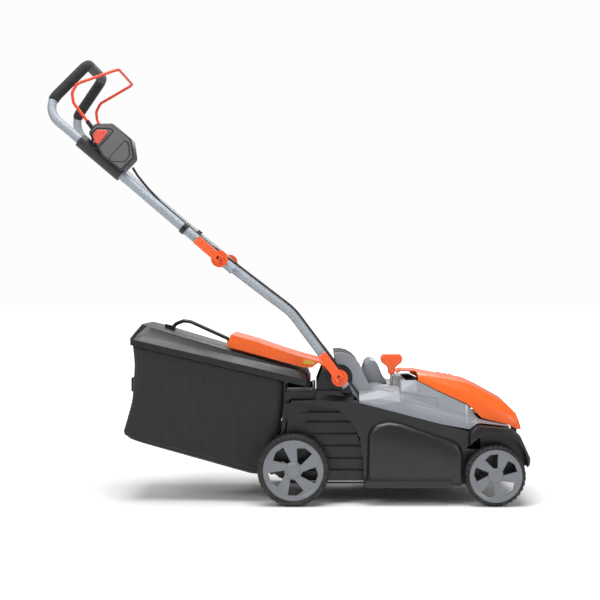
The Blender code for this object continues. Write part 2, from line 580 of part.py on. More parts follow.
def motor():
    """Motor can on the deck roof, its spindle, and the blade with its carrier and bolt below."""
    floor = 0.1165 + GAP
    can = [(0, floor), (0.052, floor), (0.052, floor + 0.004), (0.046, floor + 0.006), (0.046, 0.172),
           (0.040, 0.178), (0, 0.178)]
    housing = lathe("motor_housing", can, 24, (BLADE_X, 0, 0), MOTOR, "Z", closed=False)
    cut(housing, disc("cut_bearing", 0.0062, 0.10, 0.150, 16, (BLADE_X, 0, 0), MOTOR, "Z"))
    boss = BLADE_Z + 0.003
    spindle = [(0, boss + GAP), (0.005, boss + GAP), (0.005, boss + 0.0185), (0.0055, boss + 0.019),
               (0.0055, 0.148), (0, 0.148)]
    lathe("motor_spindle", spindle, 16, (BLADE_X, 0, 0), STEEL, "Z", closed=False)
    hub = [(0.0054, boss + GAP), (0.022, boss + GAP), (0.022, boss + 0.005), (0.012, boss + 0.010),
           (0.012, boss + 0.018), (0.0054, boss + 0.018)]
    lathe("blade_carrier", hub, 20, (BLADE_X, 0, 0), BLACK, "Z")
    x = BLADE_X
    plan = [(x - BLADE_R, -0.012), (x - 0.090, -0.021), (x - 0.030, -0.021), (x, -0.024),
            (x + 0.030, -0.021), (x + BLADE_R, -0.021), (x + BLADE_R, 0.012), (x + 0.090, 0.021),
            (x + 0.030, 0.021), (x, 0.024), (x - 0.030, 0.021), (x - BLADE_R, 0.021)]
    blade = plan_prism("blade", plan, BLADE_Z, BLADE_Z + 0.003, STEEL)
    cut(blade, disc("cut_blade", 0.0045, 0.03, 0.09, 12, (x, 0, 0), STEEL, "Z"))
    bolt = [(0, BLADE_Z - 0.008), (0.0085, BLADE_Z - 0.008), (0.0085, BLADE_Z - 0.003),
            (0.012, BLADE_Z - 0.003), (0.012, BLADE_Z - GAP), (0.0041, BLADE_Z - GAP), (0.0041, boss),
            (0, boss)]
    lathe("blade_bolt", bolt, 12, (x, 0, 0), STEEL, "Z", closed=False)


def electronics():
    """Motor controller on the deck roof and the safety key in its socket beside the battery."""
    floor = 0.1165 + GAP
    box("controller", (0.180, 0.222), (-0.045, 0.045), (floor, 0.160), BLACK, 0.003)
    post = box("key_socket", (0.290, 0.326), (-0.022, 0.022), (0.1785, 0.262), BLACK)
    cut(post, box("cut_key", (0.3045, 0.3115), (-0.0105, 0.0105), (0.248, 0.28), BLACK))
    key = box("safety_key", (0.3049, 0.3111), (-0.0101, 0.0101), (0.2484, 0.278), ORANGE)
    join(key, soften(box("key_bow", (0.3035, 0.3125), (-0.016, 0.016), (0.2655, 0.284), ORANGE), 0.002))


battery_hood()
battery()
motor()
electronics()

# ---- rear flap and grass bag --------------------------------------------------------------------


def rear_flap():
    """Flap over the chute, swinging on a rod between the handle ears and resting on the bag lid."""
    plate = [(-0.139, 0.392), (-0.077, 0.3745), (-0.014, 0.3525), (0.037, 0.337), (0.072, 0.328),
             (0.086, 0.3165), (0.080, 0.3165), (0.069, 0.3245), (0.036, 0.3335), (-0.015, 0.349),
             (-0.078, 0.371), (-0.140, 0.3885)]
    flap = prism("rear_flap", plate, -0.1045, 0.1045, ORANGE)
    skirt = [(-0.149, 0.3635), (-0.139, 0.392), (-0.077, 0.3745), (-0.014, 0.3525), (0.037, 0.337),
             (0.072, 0.328), (0.052, 0.3135), (0.030, 0.3150)]
    knuckle = arc(FLAP_HINGE, 0.0065, 160, 380, 8) + [(0.0885, 0.318), (0.0775, 0.322)]
    for side in (RIGHT, LEFT):
        tag = SIDES[side]
        join(flap, prism(f"flap_skirt_{tag}", skirt, *mirrored((0.1005, 0.1045), side), ORANGE))
        join(flap, prism(f"flap_knuckle_{tag}", knuckle, *mirrored((0.078, 0.094), side), ORANGE))
    line = [(FLAP_HINGE.x, -0.11, FLAP_HINGE.y), (FLAP_HINGE.x, 0.11, FLAP_HINGE.y)]
    cut(flap, sweep("cut_flap_knuckle", line, 0.0034, 10, ORANGE))
    rod = [(FLAP_HINGE.x, -0.118, FLAP_HINGE.y), (FLAP_HINGE.x, 0.118, FLAP_HINGE.y)]
    sweep("flap_hinge_rod", rod, 0.003, 10, STEEL)


def ring_of(front, rear, half, corner):
    """A closed rounded rectangle from a front to a rear (x, z), as a row whose last point is its first."""
    spots = []
    span = front[0] - rear[0]
    for cx, cy, start in ((1, 1, 0), (0, 1, 90), (0, -1, 180), (1, -1, 270)):
        for k in range(4):
            turn = radians(start + 30 * k)
            x = (front[0] - corner if cx else rear[0] + corner) + corner * cos(turn)
            y = cy * (half - corner) + corner * sin(turn)
            share = (x - rear[0]) / span
            spots.append((x, y, rear[1] + share * (front[1] - rear[1])))
    return spots + [spots[0]]


def capped(rings, centre):
    """Rings plus a last ring gathered into one point, which closes the sheet."""
    return rings + [[centre] * len(rings[0])]


def grass_bag():
    """Cloth tub between the rear wheels, with its front frame, lid, carry handle and rear pull strap."""
    rings = [
        ring_of((-0.014, 0.2860), (-0.3680, 0.3690), 0.1385, 0.018),
        ring_of((-0.014, 0.2400), (-0.3640, 0.3200), 0.1385, 0.020),
        ring_of((-0.024, 0.1690), (-0.3700, 0.2400), 0.1380, 0.022),
        ring_of((-0.048, 0.1120), (-0.3860, 0.1800), 0.1370, 0.022),
        ring_of((-0.052, 0.0760), (-0.3900, 0.1640), 0.1360, 0.022),
        ring_of((-0.056, 0.0640), (-0.3780, 0.1500), 0.1310, 0.022),
        ring_of((-0.080, 0.0625), (-0.3500, 0.1380), 0.1130, 0.022),
    ]
    tub = shell("bag_tub", capped(rings, (-0.21, 0.0, 0.0990)), 0.003, CLOTH)
    mouth = [(-0.10, 0.131), (0.02, 0.131), (0.02, 0.2365), (-0.10, 0.2365)]
    cut(tub, prism("cut_bag_mouth", mouth, -0.092, 0.092, CLOTH))
    front = [(-0.0090, 0.2840), (-0.0090, 0.2485), (0.0540, 0.2485), (0.0540, 0.2660), (0.0590, 0.2650),
             (0.0590, 0.2435), (0.0015, 0.2435), (-0.0095, 0.1700), (-0.0365, 0.1135), (-0.0365, 0.0660),
             (-0.0460, 0.0660), (-0.0430, 0.1100), (-0.0200, 0.1650), (-0.0134, 0.2380), (-0.0134, 0.2840)]
    frame = prism("bag_frame", front, -0.1330, 0.1330, BLACK)
    cut(frame, prism("cut_frame_mouth", mouth, -0.092, 0.092, BLACK))
    rims = [
        ring_of((0.0500, 0.2700), (-0.3740, 0.3690), 0.1435, 0.020),
        ring_of((0.0500, 0.2850), (-0.3740, 0.3840), 0.1435, 0.020),
        ring_of((0.0485, 0.2865), (-0.3720, 0.3870), 0.1405, 0.020),
        ring_of((0.0460, 0.2925), (-0.3660, 0.3960), 0.1330, 0.022),
        ring_of((0.0440, 0.3005), (-0.3500, 0.4170), 0.1220, 0.030),
        ring_of((0.0200, 0.3085), (-0.3320, 0.4130), 0.1020, 0.030),
    ]
    shell("bag_lid", capped(rims, (-0.15, 0.0, 0.3590)), 0.003, BLACK)
    bar = [(-0.2900, 0, 0.4040), (-0.2790, 0, 0.4150), (-0.2620, 0, 0.4215), (-0.2440, 0, 0.4195),
           (-0.1560, 0, 0.3795), (-0.1380, 0, 0.3680)]
    handle = sweep("bag_handle", rounded(bar, 0.012), 0.0045, 10, BLACK)
    for k, foot in enumerate(((-0.2960, 0.4030), (-0.1440, 0.3625))):
        pad = [(foot[0] - 0.010, foot[1] + 0.0030), (foot[0] + 0.014, foot[1] - 0.0040),
               (foot[0] + 0.014, foot[1] + 0.0050), (foot[0] - 0.010, foot[1] + 0.0110)]
        join(handle, prism(f"bag_handle_pad_{k}", pad, -0.012, 0.012, BLACK))


def pull_strap():
    """Webbing loop low on the bag's rear, gripped to tip the bag out."""
    near = -0.3696
    plan = [(near, -0.040), (-0.3800, -0.034), (-0.3800, 0.034), (near, 0.040), (near, 0.052),
            (-0.3735, 0.052), (-0.3840, 0.041), (-0.3840, -0.041), (-0.3735, -0.052), (near, -0.052)]
    plan_prism("bag_strap", plan, 0.252, 0.285, CLOTH)


rear_flap()
grass_bag()
pull_strap()

# ---- handle -------------------------------------------------------------------------------------


def reframe(obj, origin, ex, ey, ez):
    """Carry a mesh built about the world origin into a frame with the given axes."""
    turn = Matrix((ex, ey, ez)).transposed().to_4x4()
    turn.translation = origin
    obj.data.transform(turn)
    bm = bmesh.new()
    bm.from_mesh(obj.data)
    bmesh.ops.recalc_face_normals(bm, faces=bm.faces)
    bm.to_mesh(obj.data)
    bm.free()
    return obj


def clamp(where, at, along, seat_y, side):
    """Cam clamp outside a tube: an orange seat with its stud and cross pin, and the lever on that pin."""
    tag = f"{where}_{SIDES[side]}"
    out = Vector((0, side, 0))
    ex = Vector((along.x, 0, along.y)).normalized()
    ey = ex.cross(out)
    origin = Vector((at.x, side * seat_y, at.y))
    pin_z = 0.0106
    reach = -0.0424 if where == "upper" else -0.0449
    stud = [(0, reach - 0.004), (0.0065, reach - 0.004), (0.0065, reach), (0.0030, reach), (0.0030, GAP),
            (0.0195, GAP), (0.0195, 0.0038), (0.0030, 0.0038), (0.0030, pin_z + 0.003), (0, pin_z + 0.003)]
    seat = lathe(f"clamp_seat_{tag}", stud, 24, (0, 0, 0), ORANGE, "Z", closed=False)
    pin = sweep(f"clamp_pin_{tag}", [(0, -0.0085, pin_z), (0, 0.0085, pin_z)], 0.0022, 10, STEEL)
    outline = [(0.0062 * cos(radians(t)), pin_z + 0.0062 * sin(radians(t))) for t in range(90, 271, 20)]
    outline += [(0.014, pin_z - 0.0062), (0.050, pin_z - 0.0046), (0.066, pin_z - 0.0040),
                (0.0695, pin_z - 0.0010), (0.068, pin_z + 0.0016), (0.050, pin_z + 0.0036),
                (0.026, pin_z + 0.0058)]
    lever = prism(f"clamp_lever_{tag}", outline, -0.0105, 0.0105, ORANGE)
    fork = box(f"clamp_fork_{tag}", (-0.010, 0.007), (-0.0040, 0.0040), (-0.02, 0.04), ORANGE)
    bore = sweep(f"clamp_bore_{tag}", [(0, -0.02, pin_z), (0, 0.02, pin_z)], 0.0027, 10, ORANGE)
    for piece in (seat, pin, lever, fork, bore):
        reframe(piece, origin, ex, ey, out)
    join(seat, pin)
    cut(lever, fork)
    cut(lever, bore)


def lower_tube(side):
    """One leg of the lower handle, from its pivot up to the folding clamp."""
    tag = SIDES[side]
    down = (PIVOT - BEND).normalized()
    up = (CLAMP - BEND).normalized()
    foot, top = PIVOT + down * 0.026, CLAMP + up * 0.019
    corners = [(foot.x, side * LOWER_Y, foot.y), (BEND.x, side * LOWER_Y, BEND.y),
               (top.x, side * LOWER_Y, top.y)]
    tube = sweep(f"lower_tube_{tag}", rounded(corners, 0.14, 3), LOWER_TUBE_R, 16, TUBE,
                 LOWER_TUBE_R - TUBE_WALL)
    for which, at in (("pivot", PIVOT), ("clamp", CLAMP)):
        hole = [(at.x, side * 0.12, at.y), (at.x, side * 0.16, at.y)]
        cut(tube, sweep(f"cut_{which}_{tag}", hole, 0.0035, 10, TUBE))
    hub = disc(f"pivot_disc_{tag}", 0.0290, *mirrored((EAR_Y + GAP, 0.1299), side), 28,
               (PIVOT.x, 0, PIVOT.y), BLACK)
    hole = [(PIVOT.x, side * 0.12, PIVOT.y), (PIVOT.x, side * 0.16, PIVOT.y)]
    cut(hub, sweep(f"cut_disc_{tag}", hole, 0.0036, 10, BLACK))


def handle_route(reach, trim=0.0):
    """Centre line of the upper handle from the right clamp end over the grip to the left one."""
    out = Vector((-cos(LEG_SLOPE), sin(LEG_SLOPE)))
    bend = CLAMP + out * LEG_LENGTH
    elbow = Vector((-0.5710, 0.9170))
    corner = Vector((-0.4775, 1.0315))
    y1, y2 = 0.1565, GRIP_HALF_WIDTH
    end = CLAMP - out * reach
    half = [(end.x, UPPER_Y, end.y), (bend.x, y1, bend.y), (elbow.x, y1 - 0.002, elbow.y),
            (corner.x, y2, corner.y)]
    right = [(x, -y, z) for x, y, z in half]
    return right + [tuple(p) for p in reversed(half)]


def upper_handle():
    """U-shaped upper handle with its foam grip."""
    corners = handle_route(0.040)
    route = rounded(corners, [0.09, 0.05, 0.030, 0.030, 0.05, 0.09], 11)
    tube = sweep("upper_handle", route, TUBE_R, 14, TUBE, TUBE_R - TUBE_WALL)
    for side in (RIGHT, LEFT):
        hole = [(CLAMP.x, side * 0.14, CLAMP.y), (CLAMP.x, side * 0.18, CLAMP.y)]
        cut(tube, sweep(f"cut_upper_{SIDES[side]}", hole, 0.0035, 10, TUBE))
    low = 0.936
    start = next(i for i, p in enumerate(route) if p.z > low)
    stop = next(i for i in range(len(route) - 1, 0, -1) if route[i].z > low)
    sweep("foam_grip", route[start:stop + 1], GRIP_R, 14, FOAM, TUBE_R + GAP)
    return route


BAIL_AXIS = Vector((-0.446, 0.859))
BAIL_R = 0.0035
SPLIT_Y = 0.1577  # joint between the two halves of the switch box, on the tube's centre line
LEG = Vector((-cos(LEG_SLOPE), sin(LEG_SLOPE)))
LEG_NORMAL = Vector((sin(LEG_SLOPE), cos(LEG_SLOPE)))


def bail():
    """Dead man's bail: one bent wire, its ends turned inwards at the pivots."""
    leg = [(-0.446, 0.152, 0.859), (-0.4700, 0.152, 0.8910), (-0.5010, 0.153, 0.9320),
           (-0.5040, 0.153, 0.9560), (-0.4930, 0.150, 0.9770), (-0.4030, 0.108, 1.0185)]
    end = (-0.446, 0.1425, 0.859)
    half = [end] + leg
    right = [(x, -y, z) for x, y, z in half]
    corners = right + list(reversed(half))
    radii = [0.006, 0.03, 0.022, 0.018, 0.02, 0.022]
    sweep("bail", rounded(corners, radii + radii[::-1], 22), BAIL_R, 8, ORANGE)


def swung(spread):
    """Outline of the space a bar from the bail's axis needs between rest and the pulled-in angle."""
    lines = []
    for degrees, side in ((126.9, 1), (149.5, -1)):
        d = Vector((cos(radians(degrees)), sin(radians(degrees))))
        n = Vector((d.y, -d.x)) * spread * side
        lines.append([BAIL_AXIS - d * 0.009 + n, BAIL_AXIS + d * 0.075 + n])
    return [tuple(p) for p in (lines[0][0], lines[0][1], lines[1][1], lines[1][0])]


def sleeve(name, start, stop, y, radius, paint):
    """A round collar on an upper handle leg, between two distances from the clamp."""
    a, b = CLAMP + LEG * start, CLAMP + LEG * stop
    return sweep(name, [(a.x, y, a.y), (b.x, y, b.y)], radius, 16, paint)


def switch_box():
    """Switch housing on the right leg, in two halves round the tube, with its lock-off button."""
    face = [(-0.4600, 0.8580), (-0.4450, 0.8790), (-0.4040, 0.8800), (-0.3600, 0.8430), (-0.3540, 0.8000),
            (-0.3670, 0.7860), (-0.3840, 0.7690), (-0.4280, 0.8050)]
    tube = [UPPER_ROUTE[0], UPPER_ROUTE[1]]
    button = [(-0.4407, 0.8645), (-0.4201, 0.8645), (-0.4142, 0.8583), (-0.4366, 0.8313), (-0.4458, 0.8368),
              (-0.4487, 0.8521)]
    middle = Vector((-0.4330, 0.8500))
    window = [tuple(middle + (Vector(p) - middle) * 1.07) for p in button]
    for half, low, high in (("outer", -0.1875, -SPLIT_Y - GAP / 2), ("inner", -SPLIT_Y + GAP / 2, -0.1345)):
        body = soften(prism(f"switch_{half}", face, low, high, BLACK), 0.003, 1)
        collar = sleeve(f"collar_{half}", 0.300, 0.425, -SPLIT_Y, 0.0165, BLACK)
        away = (-SPLIT_Y - GAP / 2, 0) if half == "outer" else (-0.3, -SPLIT_Y + GAP / 2)
        cut(collar, box(f"cut_collar_{half}", (-0.60, -0.30), away, (0.6, 1.0), BLACK))
        join(body, collar)
        cut(body, sweep(f"cut_tube_{half}", tube, TUBE_R + 0.0008, 14, BLACK))
        if half == "outer":
            cut(body, prism("cut_button", window, -0.20, -0.1710, BLACK))
        else:
            cut(body, prism("cut_bail_pocket", swung(0.0068), -0.20, -0.1455, BLACK))
            hole = [(BAIL_AXIS.x, -0.1415, BAIL_AXIS.y), (BAIL_AXIS.x, -0.16, BAIL_AXIS.y)]
            cut(body, sweep("cut_bail_pin", hole, BAIL_R + 0.0006, 12, BLACK))
    soften(prism("lock_off_button", button, -0.1915, -0.1765, RED), 0.0012, 1)
    d = Vector((-0.6, 0.8))
    a, b = BAIL_AXIS + d * 0.010, BAIL_AXIS + d * 0.0385
    sweep("bail_sleeve", [(a.x, -0.152, a.y), (b.x, -0.152, b.y)], 0.0052, 12, BLACK, BAIL_R + GAP)


def bail_bracket():
    """Collar on the left leg that carries the far end of the bail."""
    n, tip = LEG_NORMAL, BAIL_AXIS
    foot = CLAMP + LEG * 0.4057
    spread = LEG * 0.010
    arm = [foot - n * 0.012 - spread, foot - n * 0.012 + spread, tip + LEG * 0.007,
           tip + n * 0.006 + LEG * 0.004, tip + n * 0.006 - LEG * 0.004, tip - LEG * 0.007]
    bracket = prism("bail_bracket", [tuple(p) for p in arm], 0.1365, 0.1450, BLACK)
    join(bracket, sleeve("bracket_collar", 0.3945, 0.4170, SPLIT_Y, 0.0158, BLACK))
    tube = [UPPER_ROUTE[-1], UPPER_ROUTE[-2]]
    cut(bracket, sweep("cut_bracket_tube", tube, TUBE_R + 0.0008, 14, BLACK))
    hole = [(tip.x, 0.1415, tip.y), (tip.x, 0.17, tip.y)]
    cut(bracket, sweep("cut_bracket_pin", hole, BAIL_R + 0.0006, 12, BLACK))
    cut(bracket, prism("cut_bracket_swing", swung(0.0058), 0.1468, 0.20, BLACK))


CABLE_R = 0.00275


def cables():
    """Switch cable in three lengths: on the upper handle, on the lower handle and into the deck."""
    def beside(at, direction, normal, t, n, y):
        p = at + direction * t + normal * n
        return (p.x, -y, p.y)

    down = (BEND - CLAMP).normalized()
    down_n = Vector((-down.y, down.x))
    last = (PIVOT - BEND).normalized()
    last_n = Vector((-last.y, last.x))
    upper = [(-0.3640, -0.1480, 0.7820), (-0.3530, -0.1480, 0.7640), (-0.3290, -0.1480, 0.7345)]
    upper += [beside(CLAMP, LEG, LEG_NORMAL, 0.190, 0.0110, 0.1480),
              beside(CLAMP, LEG, LEG_NORMAL, 0.036, 0.0101, 0.1479)]
    sweep("cable_upper", rounded(upper, 0.03, 12), CABLE_R, 8, CABLE)
    join_at = beside(CLAMP, LEG, LEG_NORMAL, 0.0350, 0.0102, 0.1478)
    lower = [join_at, beside(CLAMP, LEG, LEG_NORMAL, 0.020, 0.0125, 0.1450)]
    lower += [beside(CLAMP, down, down_n, 0.018, 0.0136, 0.1405)]
    bend_out = BEND + (down_n + last_n).normalized() * 0.0134
    lower += [(bend_out.x, -0.1405, bend_out.y), beside(PIVOT, last, last_n, 0.0265, 0.0132, 0.1405)]
    sweep("cable_lower", rounded(lower, [0.02, 0.02, 0.14], 6), CABLE_R, 8, CABLE)
    deck_end = [beside(PIVOT, last, last_n, 0.0269, 0.0132, 0.1405),
                beside(PIVOT, last, last_n, 0.0360, 0.0132, 0.1405), (0.1600, -0.1345, 0.2570),
                (0.1760, -0.1200, 0.2330), (0.1900, -0.1000, 0.2100)]
    sweep("cable_deck", rounded(deck_end, 0.012, 20), CABLE_R, 8, CABLE)
    cut(bpy.data.objects["body_cover"], sweep("cut_cable", deck_end[1:], CABLE_R + 0.0008, 10, SILVER))
    for side in (RIGHT, LEFT):
        y = side * 0.1608
        clip = sleeve(f"cable_clip_{SIDES[side]}", 0.103, 0.114, y, 0.0136, BLACK)
        a, b = (beside(CLAMP, LEG, LEG_NORMAL, t, 0.0104, 0.1482) for t in (0.104, 0.113))
        c, d = (beside(CLAMP, LEG, LEG_NORMAL, t, 0.0104, 0.1482) for t in (0.09, 0.13))
        if side == RIGHT:
            join(clip, sweep("clip_loop", [a, b], 0.0050, 12, BLACK))
            cut(clip, sweep("cut_clip_loop", [c, d], CABLE_R + 0.0005, 10, BLACK))
        cut(clip, sleeve(f"cut_clip_{SIDES[side]}", 0.09, 0.13, y, TUBE_R + 0.0010, BLACK))


UPPER_ROUTE = upper_handle()
for _side in (RIGHT, LEFT):
    lower_tube(_side)
    clamp("lower", PIVOT, BEND - PIVOT, LOWER_Y + LOWER_TUBE_R, _side)
    clamp("upper", CLAMP, LEG, UPPER_Y + TUBE_R, _side)
bail()
switch_box()
bail_bracket()
cables()

# ---- joints: an empty on each axis, with the pieces that turn or slide with it -------------------


def joint(name, at, pieces, under=None):
    """An empty at the joint's place that carries its pieces and hangs on the joint before it."""
    empty = bpy.data.objects.new(name, None)
    bpy.context.scene.collection.objects.link(empty)
    empty.empty_display_size = 0.03
    base = Vector(under["at"]) if under else Vector((0, 0, 0))
    empty.location = Vector(at) - base
    if under:
        empty.parent = under
    empty["at"] = list(at)
    for piece in pieces:
        obj = bpy.data.objects[piece]
        obj.parent = empty
        obj.matrix_parent_inverse = Matrix.Translation(-Vector(at))
    return empty


def clamp_pin(at, along, seat_y, side):
    return (at.x, side * (seat_y + 0.0106), at.y)


joint("hood_open", (HOOD_HINGE.x, 0, HOOD_HINGE.y), ["battery_hood"])
joint("flap_open", (FLAP_HINGE.x, 0, FLAP_HINGE.y), ["rear_flap"])
joint("bag_lift", (-0.17, 0, 0.25), ["bag_tub", "bag_frame", "bag_lid", "bag_handle", "bag_strap"])
joint("blade_spin", (BLADE_X, 0, BLADE_Z), ["motor_spindle", "blade_carrier", "blade", "blade_bolt"])
joint("height_lever_swing", (LEVER_PIVOT.x, LEVER_Y, LEVER_PIVOT.y), ["height_lever", "height_knob"])
joint("height_link_slide", (0.235, LINK_Y, 0.134), ["height_link"])
for _end, _spec in (("rear", REAR_WHEEL), ("front", FRONT_WHEEL)):
    _pivot = crank_pivot(_spec)
    _crank = joint(f"{_end}_axle_crank", (_pivot.x, 0, _pivot.y), [f"{_end}_axle"])
    for _side in (RIGHT, LEFT):
        _tag = f"{_end}_{SIDES[_side]}"
        joint(f"wheel_spin_{_tag}", (_spec["x"], _side * 0.17, _spec["r"]), [f"tyre_{_tag}", f"rim_{_tag}"],
              _crank)
_lower = joint("lower_handle_fold", (PIVOT.x, 0, PIVOT.y), [
    "lower_tube_right", "lower_tube_left", "clamp_seat_lower_right", "clamp_seat_lower_left", "cable_lower"])
_upper = joint("upper_handle_fold", (CLAMP.x, 0, CLAMP.y), [
    "upper_handle", "foam_grip", "switch_outer", "switch_inner", "bail_bracket", "cable_upper",
    "cable_clip_right", "cable_clip_left", "clamp_seat_upper_right", "clamp_seat_upper_left"], _lower)
for _side in (RIGHT, LEFT):
    _tag = SIDES[_side]
    joint(f"lower_clamp_open_{_tag}", clamp_pin(PIVOT, BEND - PIVOT, LOWER_Y + LOWER_TUBE_R, _side),
          [f"clamp_lever_lower_{_tag}"], _lower)
    joint(f"upper_clamp_open_{_tag}", clamp_pin(CLAMP, LEG, UPPER_Y + TUBE_R, _side),
          [f"clamp_lever_upper_{_tag}"], _upper)
joint("bail_pull", (BAIL_AXIS.x, 0, BAIL_AXIS.y), ["bail", "bail_sleeve"], _upper)
joint("lock_off_press", (-0.4330, -0.1765, 0.8500), ["lock_off_button"], _upper)
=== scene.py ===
"""Looks of a battery rotary mower with a rear grass bag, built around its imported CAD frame."""

import json
from math import cos, pi, radians, sin

import bmesh
import bpy
import numpy as np
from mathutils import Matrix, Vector

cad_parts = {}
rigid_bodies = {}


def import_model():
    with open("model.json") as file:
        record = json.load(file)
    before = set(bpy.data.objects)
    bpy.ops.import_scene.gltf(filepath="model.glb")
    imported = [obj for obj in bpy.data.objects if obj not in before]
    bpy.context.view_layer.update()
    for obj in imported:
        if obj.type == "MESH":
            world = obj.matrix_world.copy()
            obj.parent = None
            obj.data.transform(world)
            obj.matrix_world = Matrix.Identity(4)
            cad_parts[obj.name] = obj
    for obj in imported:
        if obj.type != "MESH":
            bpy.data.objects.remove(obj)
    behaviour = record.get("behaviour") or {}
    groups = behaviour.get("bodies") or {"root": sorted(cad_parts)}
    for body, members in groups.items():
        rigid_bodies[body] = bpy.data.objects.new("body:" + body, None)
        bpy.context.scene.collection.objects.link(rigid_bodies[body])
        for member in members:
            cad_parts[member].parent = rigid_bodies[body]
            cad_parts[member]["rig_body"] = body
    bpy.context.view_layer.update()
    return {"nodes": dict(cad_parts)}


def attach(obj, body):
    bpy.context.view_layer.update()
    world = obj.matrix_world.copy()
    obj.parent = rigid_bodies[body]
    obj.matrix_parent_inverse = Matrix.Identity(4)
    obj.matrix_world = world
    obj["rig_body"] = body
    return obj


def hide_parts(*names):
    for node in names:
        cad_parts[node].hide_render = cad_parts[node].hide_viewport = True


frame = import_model()

# ---- studio ---------------------------------------------------------------------------------------
# A plain pale floor that brightens to the colour of the pale sky, and four soft square lamps. The
# camera stands level, half a metre up and 2.9 m to the right of the machine, square to its side.
CAMERA_AT = (0.053, -2.89, 0.502)
SENSOR_MM, LENS_MM = 36.0, 70.74
LENS_SHIFT = -0.02
SKY_LIGHT, SKY_SEEN = 0.36, 0.98  # the sky's strength as a lamp and as the camera sees it
FLOOR_REACH, FLOOR_Z = 30.0, -0.0005
FLOOR_NEAR, FLOOR_FAR = 0.75, 2.6  # the distances between which the floor brightens, in metres
LAMPS = [("overhead", (0.0, -0.5, 3.0), (0.0, 0.0, 0.3), 2.2, 92),
         ("key", (-2.2, -3.0, 2.6), (0.0, 0.0, 0.4), 1.4, 50),
         ("fill", (2.8, -2.4, 1.6), (0.1, 0.0, 0.3), 1.4, 22),
         ("back", (0.6, 3.2, 2.4), (0.0, 0.0, 0.4), 1.8, 34)]


def new_object(name, data):
    """An object with its data, linked into the scene."""
    made = bpy.data.objects.new(name, data)
    bpy.context.scene.collection.objects.link(made)
    return made


def lamp(name, place, aim, size, watts):
    """A square soft lamp at place, turned to face aim."""
    light = new_object(name, bpy.data.lights.new(name, "AREA"))
    light.location = place
    light.rotation_euler = (Vector(aim) - Vector(place)).to_track_quat("-Z", "Y").to_euler()
    light.data.size = size
    light.data.energy = watts


def node(tree, kind, ins=(), feed=(), **settings):
    """A node with its settings, its input values (ins) and the sockets wired to its inputs (feed)."""
    made = tree.nodes.new(kind)
    for key, value in settings.items():
        setattr(made, key, value)
    for key, value in dict(ins).items():
        made.inputs[key].default_value = value
    for key, source in dict(feed).items():
        tree.links.new(source, made.inputs[key])
    return made


def remap(tree, value, low, high, to_low=0.0, to_high=1.0, **settings):
    """A value moved from the range low to high into another range, and held inside it."""
    ins = {"From Min": low, "From Max": high, "To Min": to_low, "To Max": to_high}
    return node(tree, "ShaderNodeMapRange", ins, {"Value": value}, **settings).outputs["Result"]


def maths(tree, operation, first, second, **settings):
    """The result of an operation on a socket and a second socket."""
    return node(tree, "ShaderNodeMath", (), {0: first, 1: second}, operation=operation, **settings).outputs[0]


def new_paint(name, values):
    """A material with these values on its Principled inputs: the material, its tree and its shader."""
    paint = bpy.data.materials.new(name)
    paint.use_nodes = True
    shader = paint.node_tree.nodes["Principled BSDF"]
    for key, value in values.items():
        shader.inputs[key].default_value = value
    return paint, paint.node_tree, shader


camera = new_object("camera", bpy.data.cameras.new("camera"))
camera.location = CAMERA_AT
camera.rotation_euler = (radians(90), 0, 0)
camera.data.sensor_width = SENSOR_MM
camera.data.lens = LENS_MM
camera.data.shift_x = LENS_SHIFT
camera.data.shift_y = LENS_SHIFT
bpy.context.scene.camera = camera
bpy.context.scene.view_settings.view_transform = "Standard"
for settings in LAMPS:
    lamp(*settings)

sky = bpy.data.worlds.new("pale_sky")
sky.use_nodes = True
sky_tree = sky.node_tree
sky_tree.nodes["Background"].inputs["Color"].default_value = (1.0, 1.0, 1.0, 1)
seen_by_camera = node(sky_tree, "ShaderNodeLightPath").outputs["Is Camera Ray"]
sky_tree.links.new(remap(sky_tree, seen_by_camera, 0, 1, SKY_LIGHT, SKY_SEEN),
                   sky_tree.nodes["Background"].inputs["Strength"])
bpy.context.scene.world = sky

floor_mesh = bpy.data.meshes.new("floor")
floor_mesh.from_pydata([(x * FLOOR_REACH, y * FLOOR_REACH, FLOOR_Z)
                        for x, y in ((-1, -1), (1, -1), (1, 1), (-1, 1))], [], [(0, 1, 2, 3)])
floor = new_object("floor", floor_mesh)
floor_paint, tree, shader = new_paint("floor_paint", {
    "Base Color": (0.90, 0.90, 0.90, 1), "Roughness": 0.95, "Specular IOR Level": 0.1,
    "Emission Color": (1, 1, 1, 1)})
floor_place = node(tree, "ShaderNodeTexCoord").outputs["Object"]
distance = node(tree, "ShaderNodeVectorMath", (), {0: floor_place}, operation="LENGTH").outputs["Value"]
glow = remap(tree, distance, FLOOR_NEAR, FLOOR_FAR, interpolation_type="SMOOTHSTEP")
seen_by_camera = node(tree, "ShaderNodeLightPath").outputs["Is Camera Ray"]
tree.links.new(maths(tree, "MULTIPLY", glow, seen_by_camera), shader.inputs["Emission Strength"])
floor_mesh.materials.append(floor_paint)

# ---- deck -----------------------------------------------------------------------------------------
# The charcoal lower housing, one big injection moulding in filled polypropylene with a fine spark
# texture. Its corners are rounded over by about a millimetre, as the tool leaves them.
RIGHT, LEFT = -1, 1
SIDES = {RIGHT: "right", LEFT: "left"}
CAD_MERGE = 3e-6  # metres
FLAT_WITHIN = radians(0.4)


def ink(red, green, blue):
    """Linear colour from display values of 0 to 255."""
    level = np.array([red, green, blue]) / 255.0
    linear = np.where(level <= 0.04045, level / 12.92, ((level + 0.055) / 1.055) ** 2.4)
    return (*linear.tolist(), 1.0)


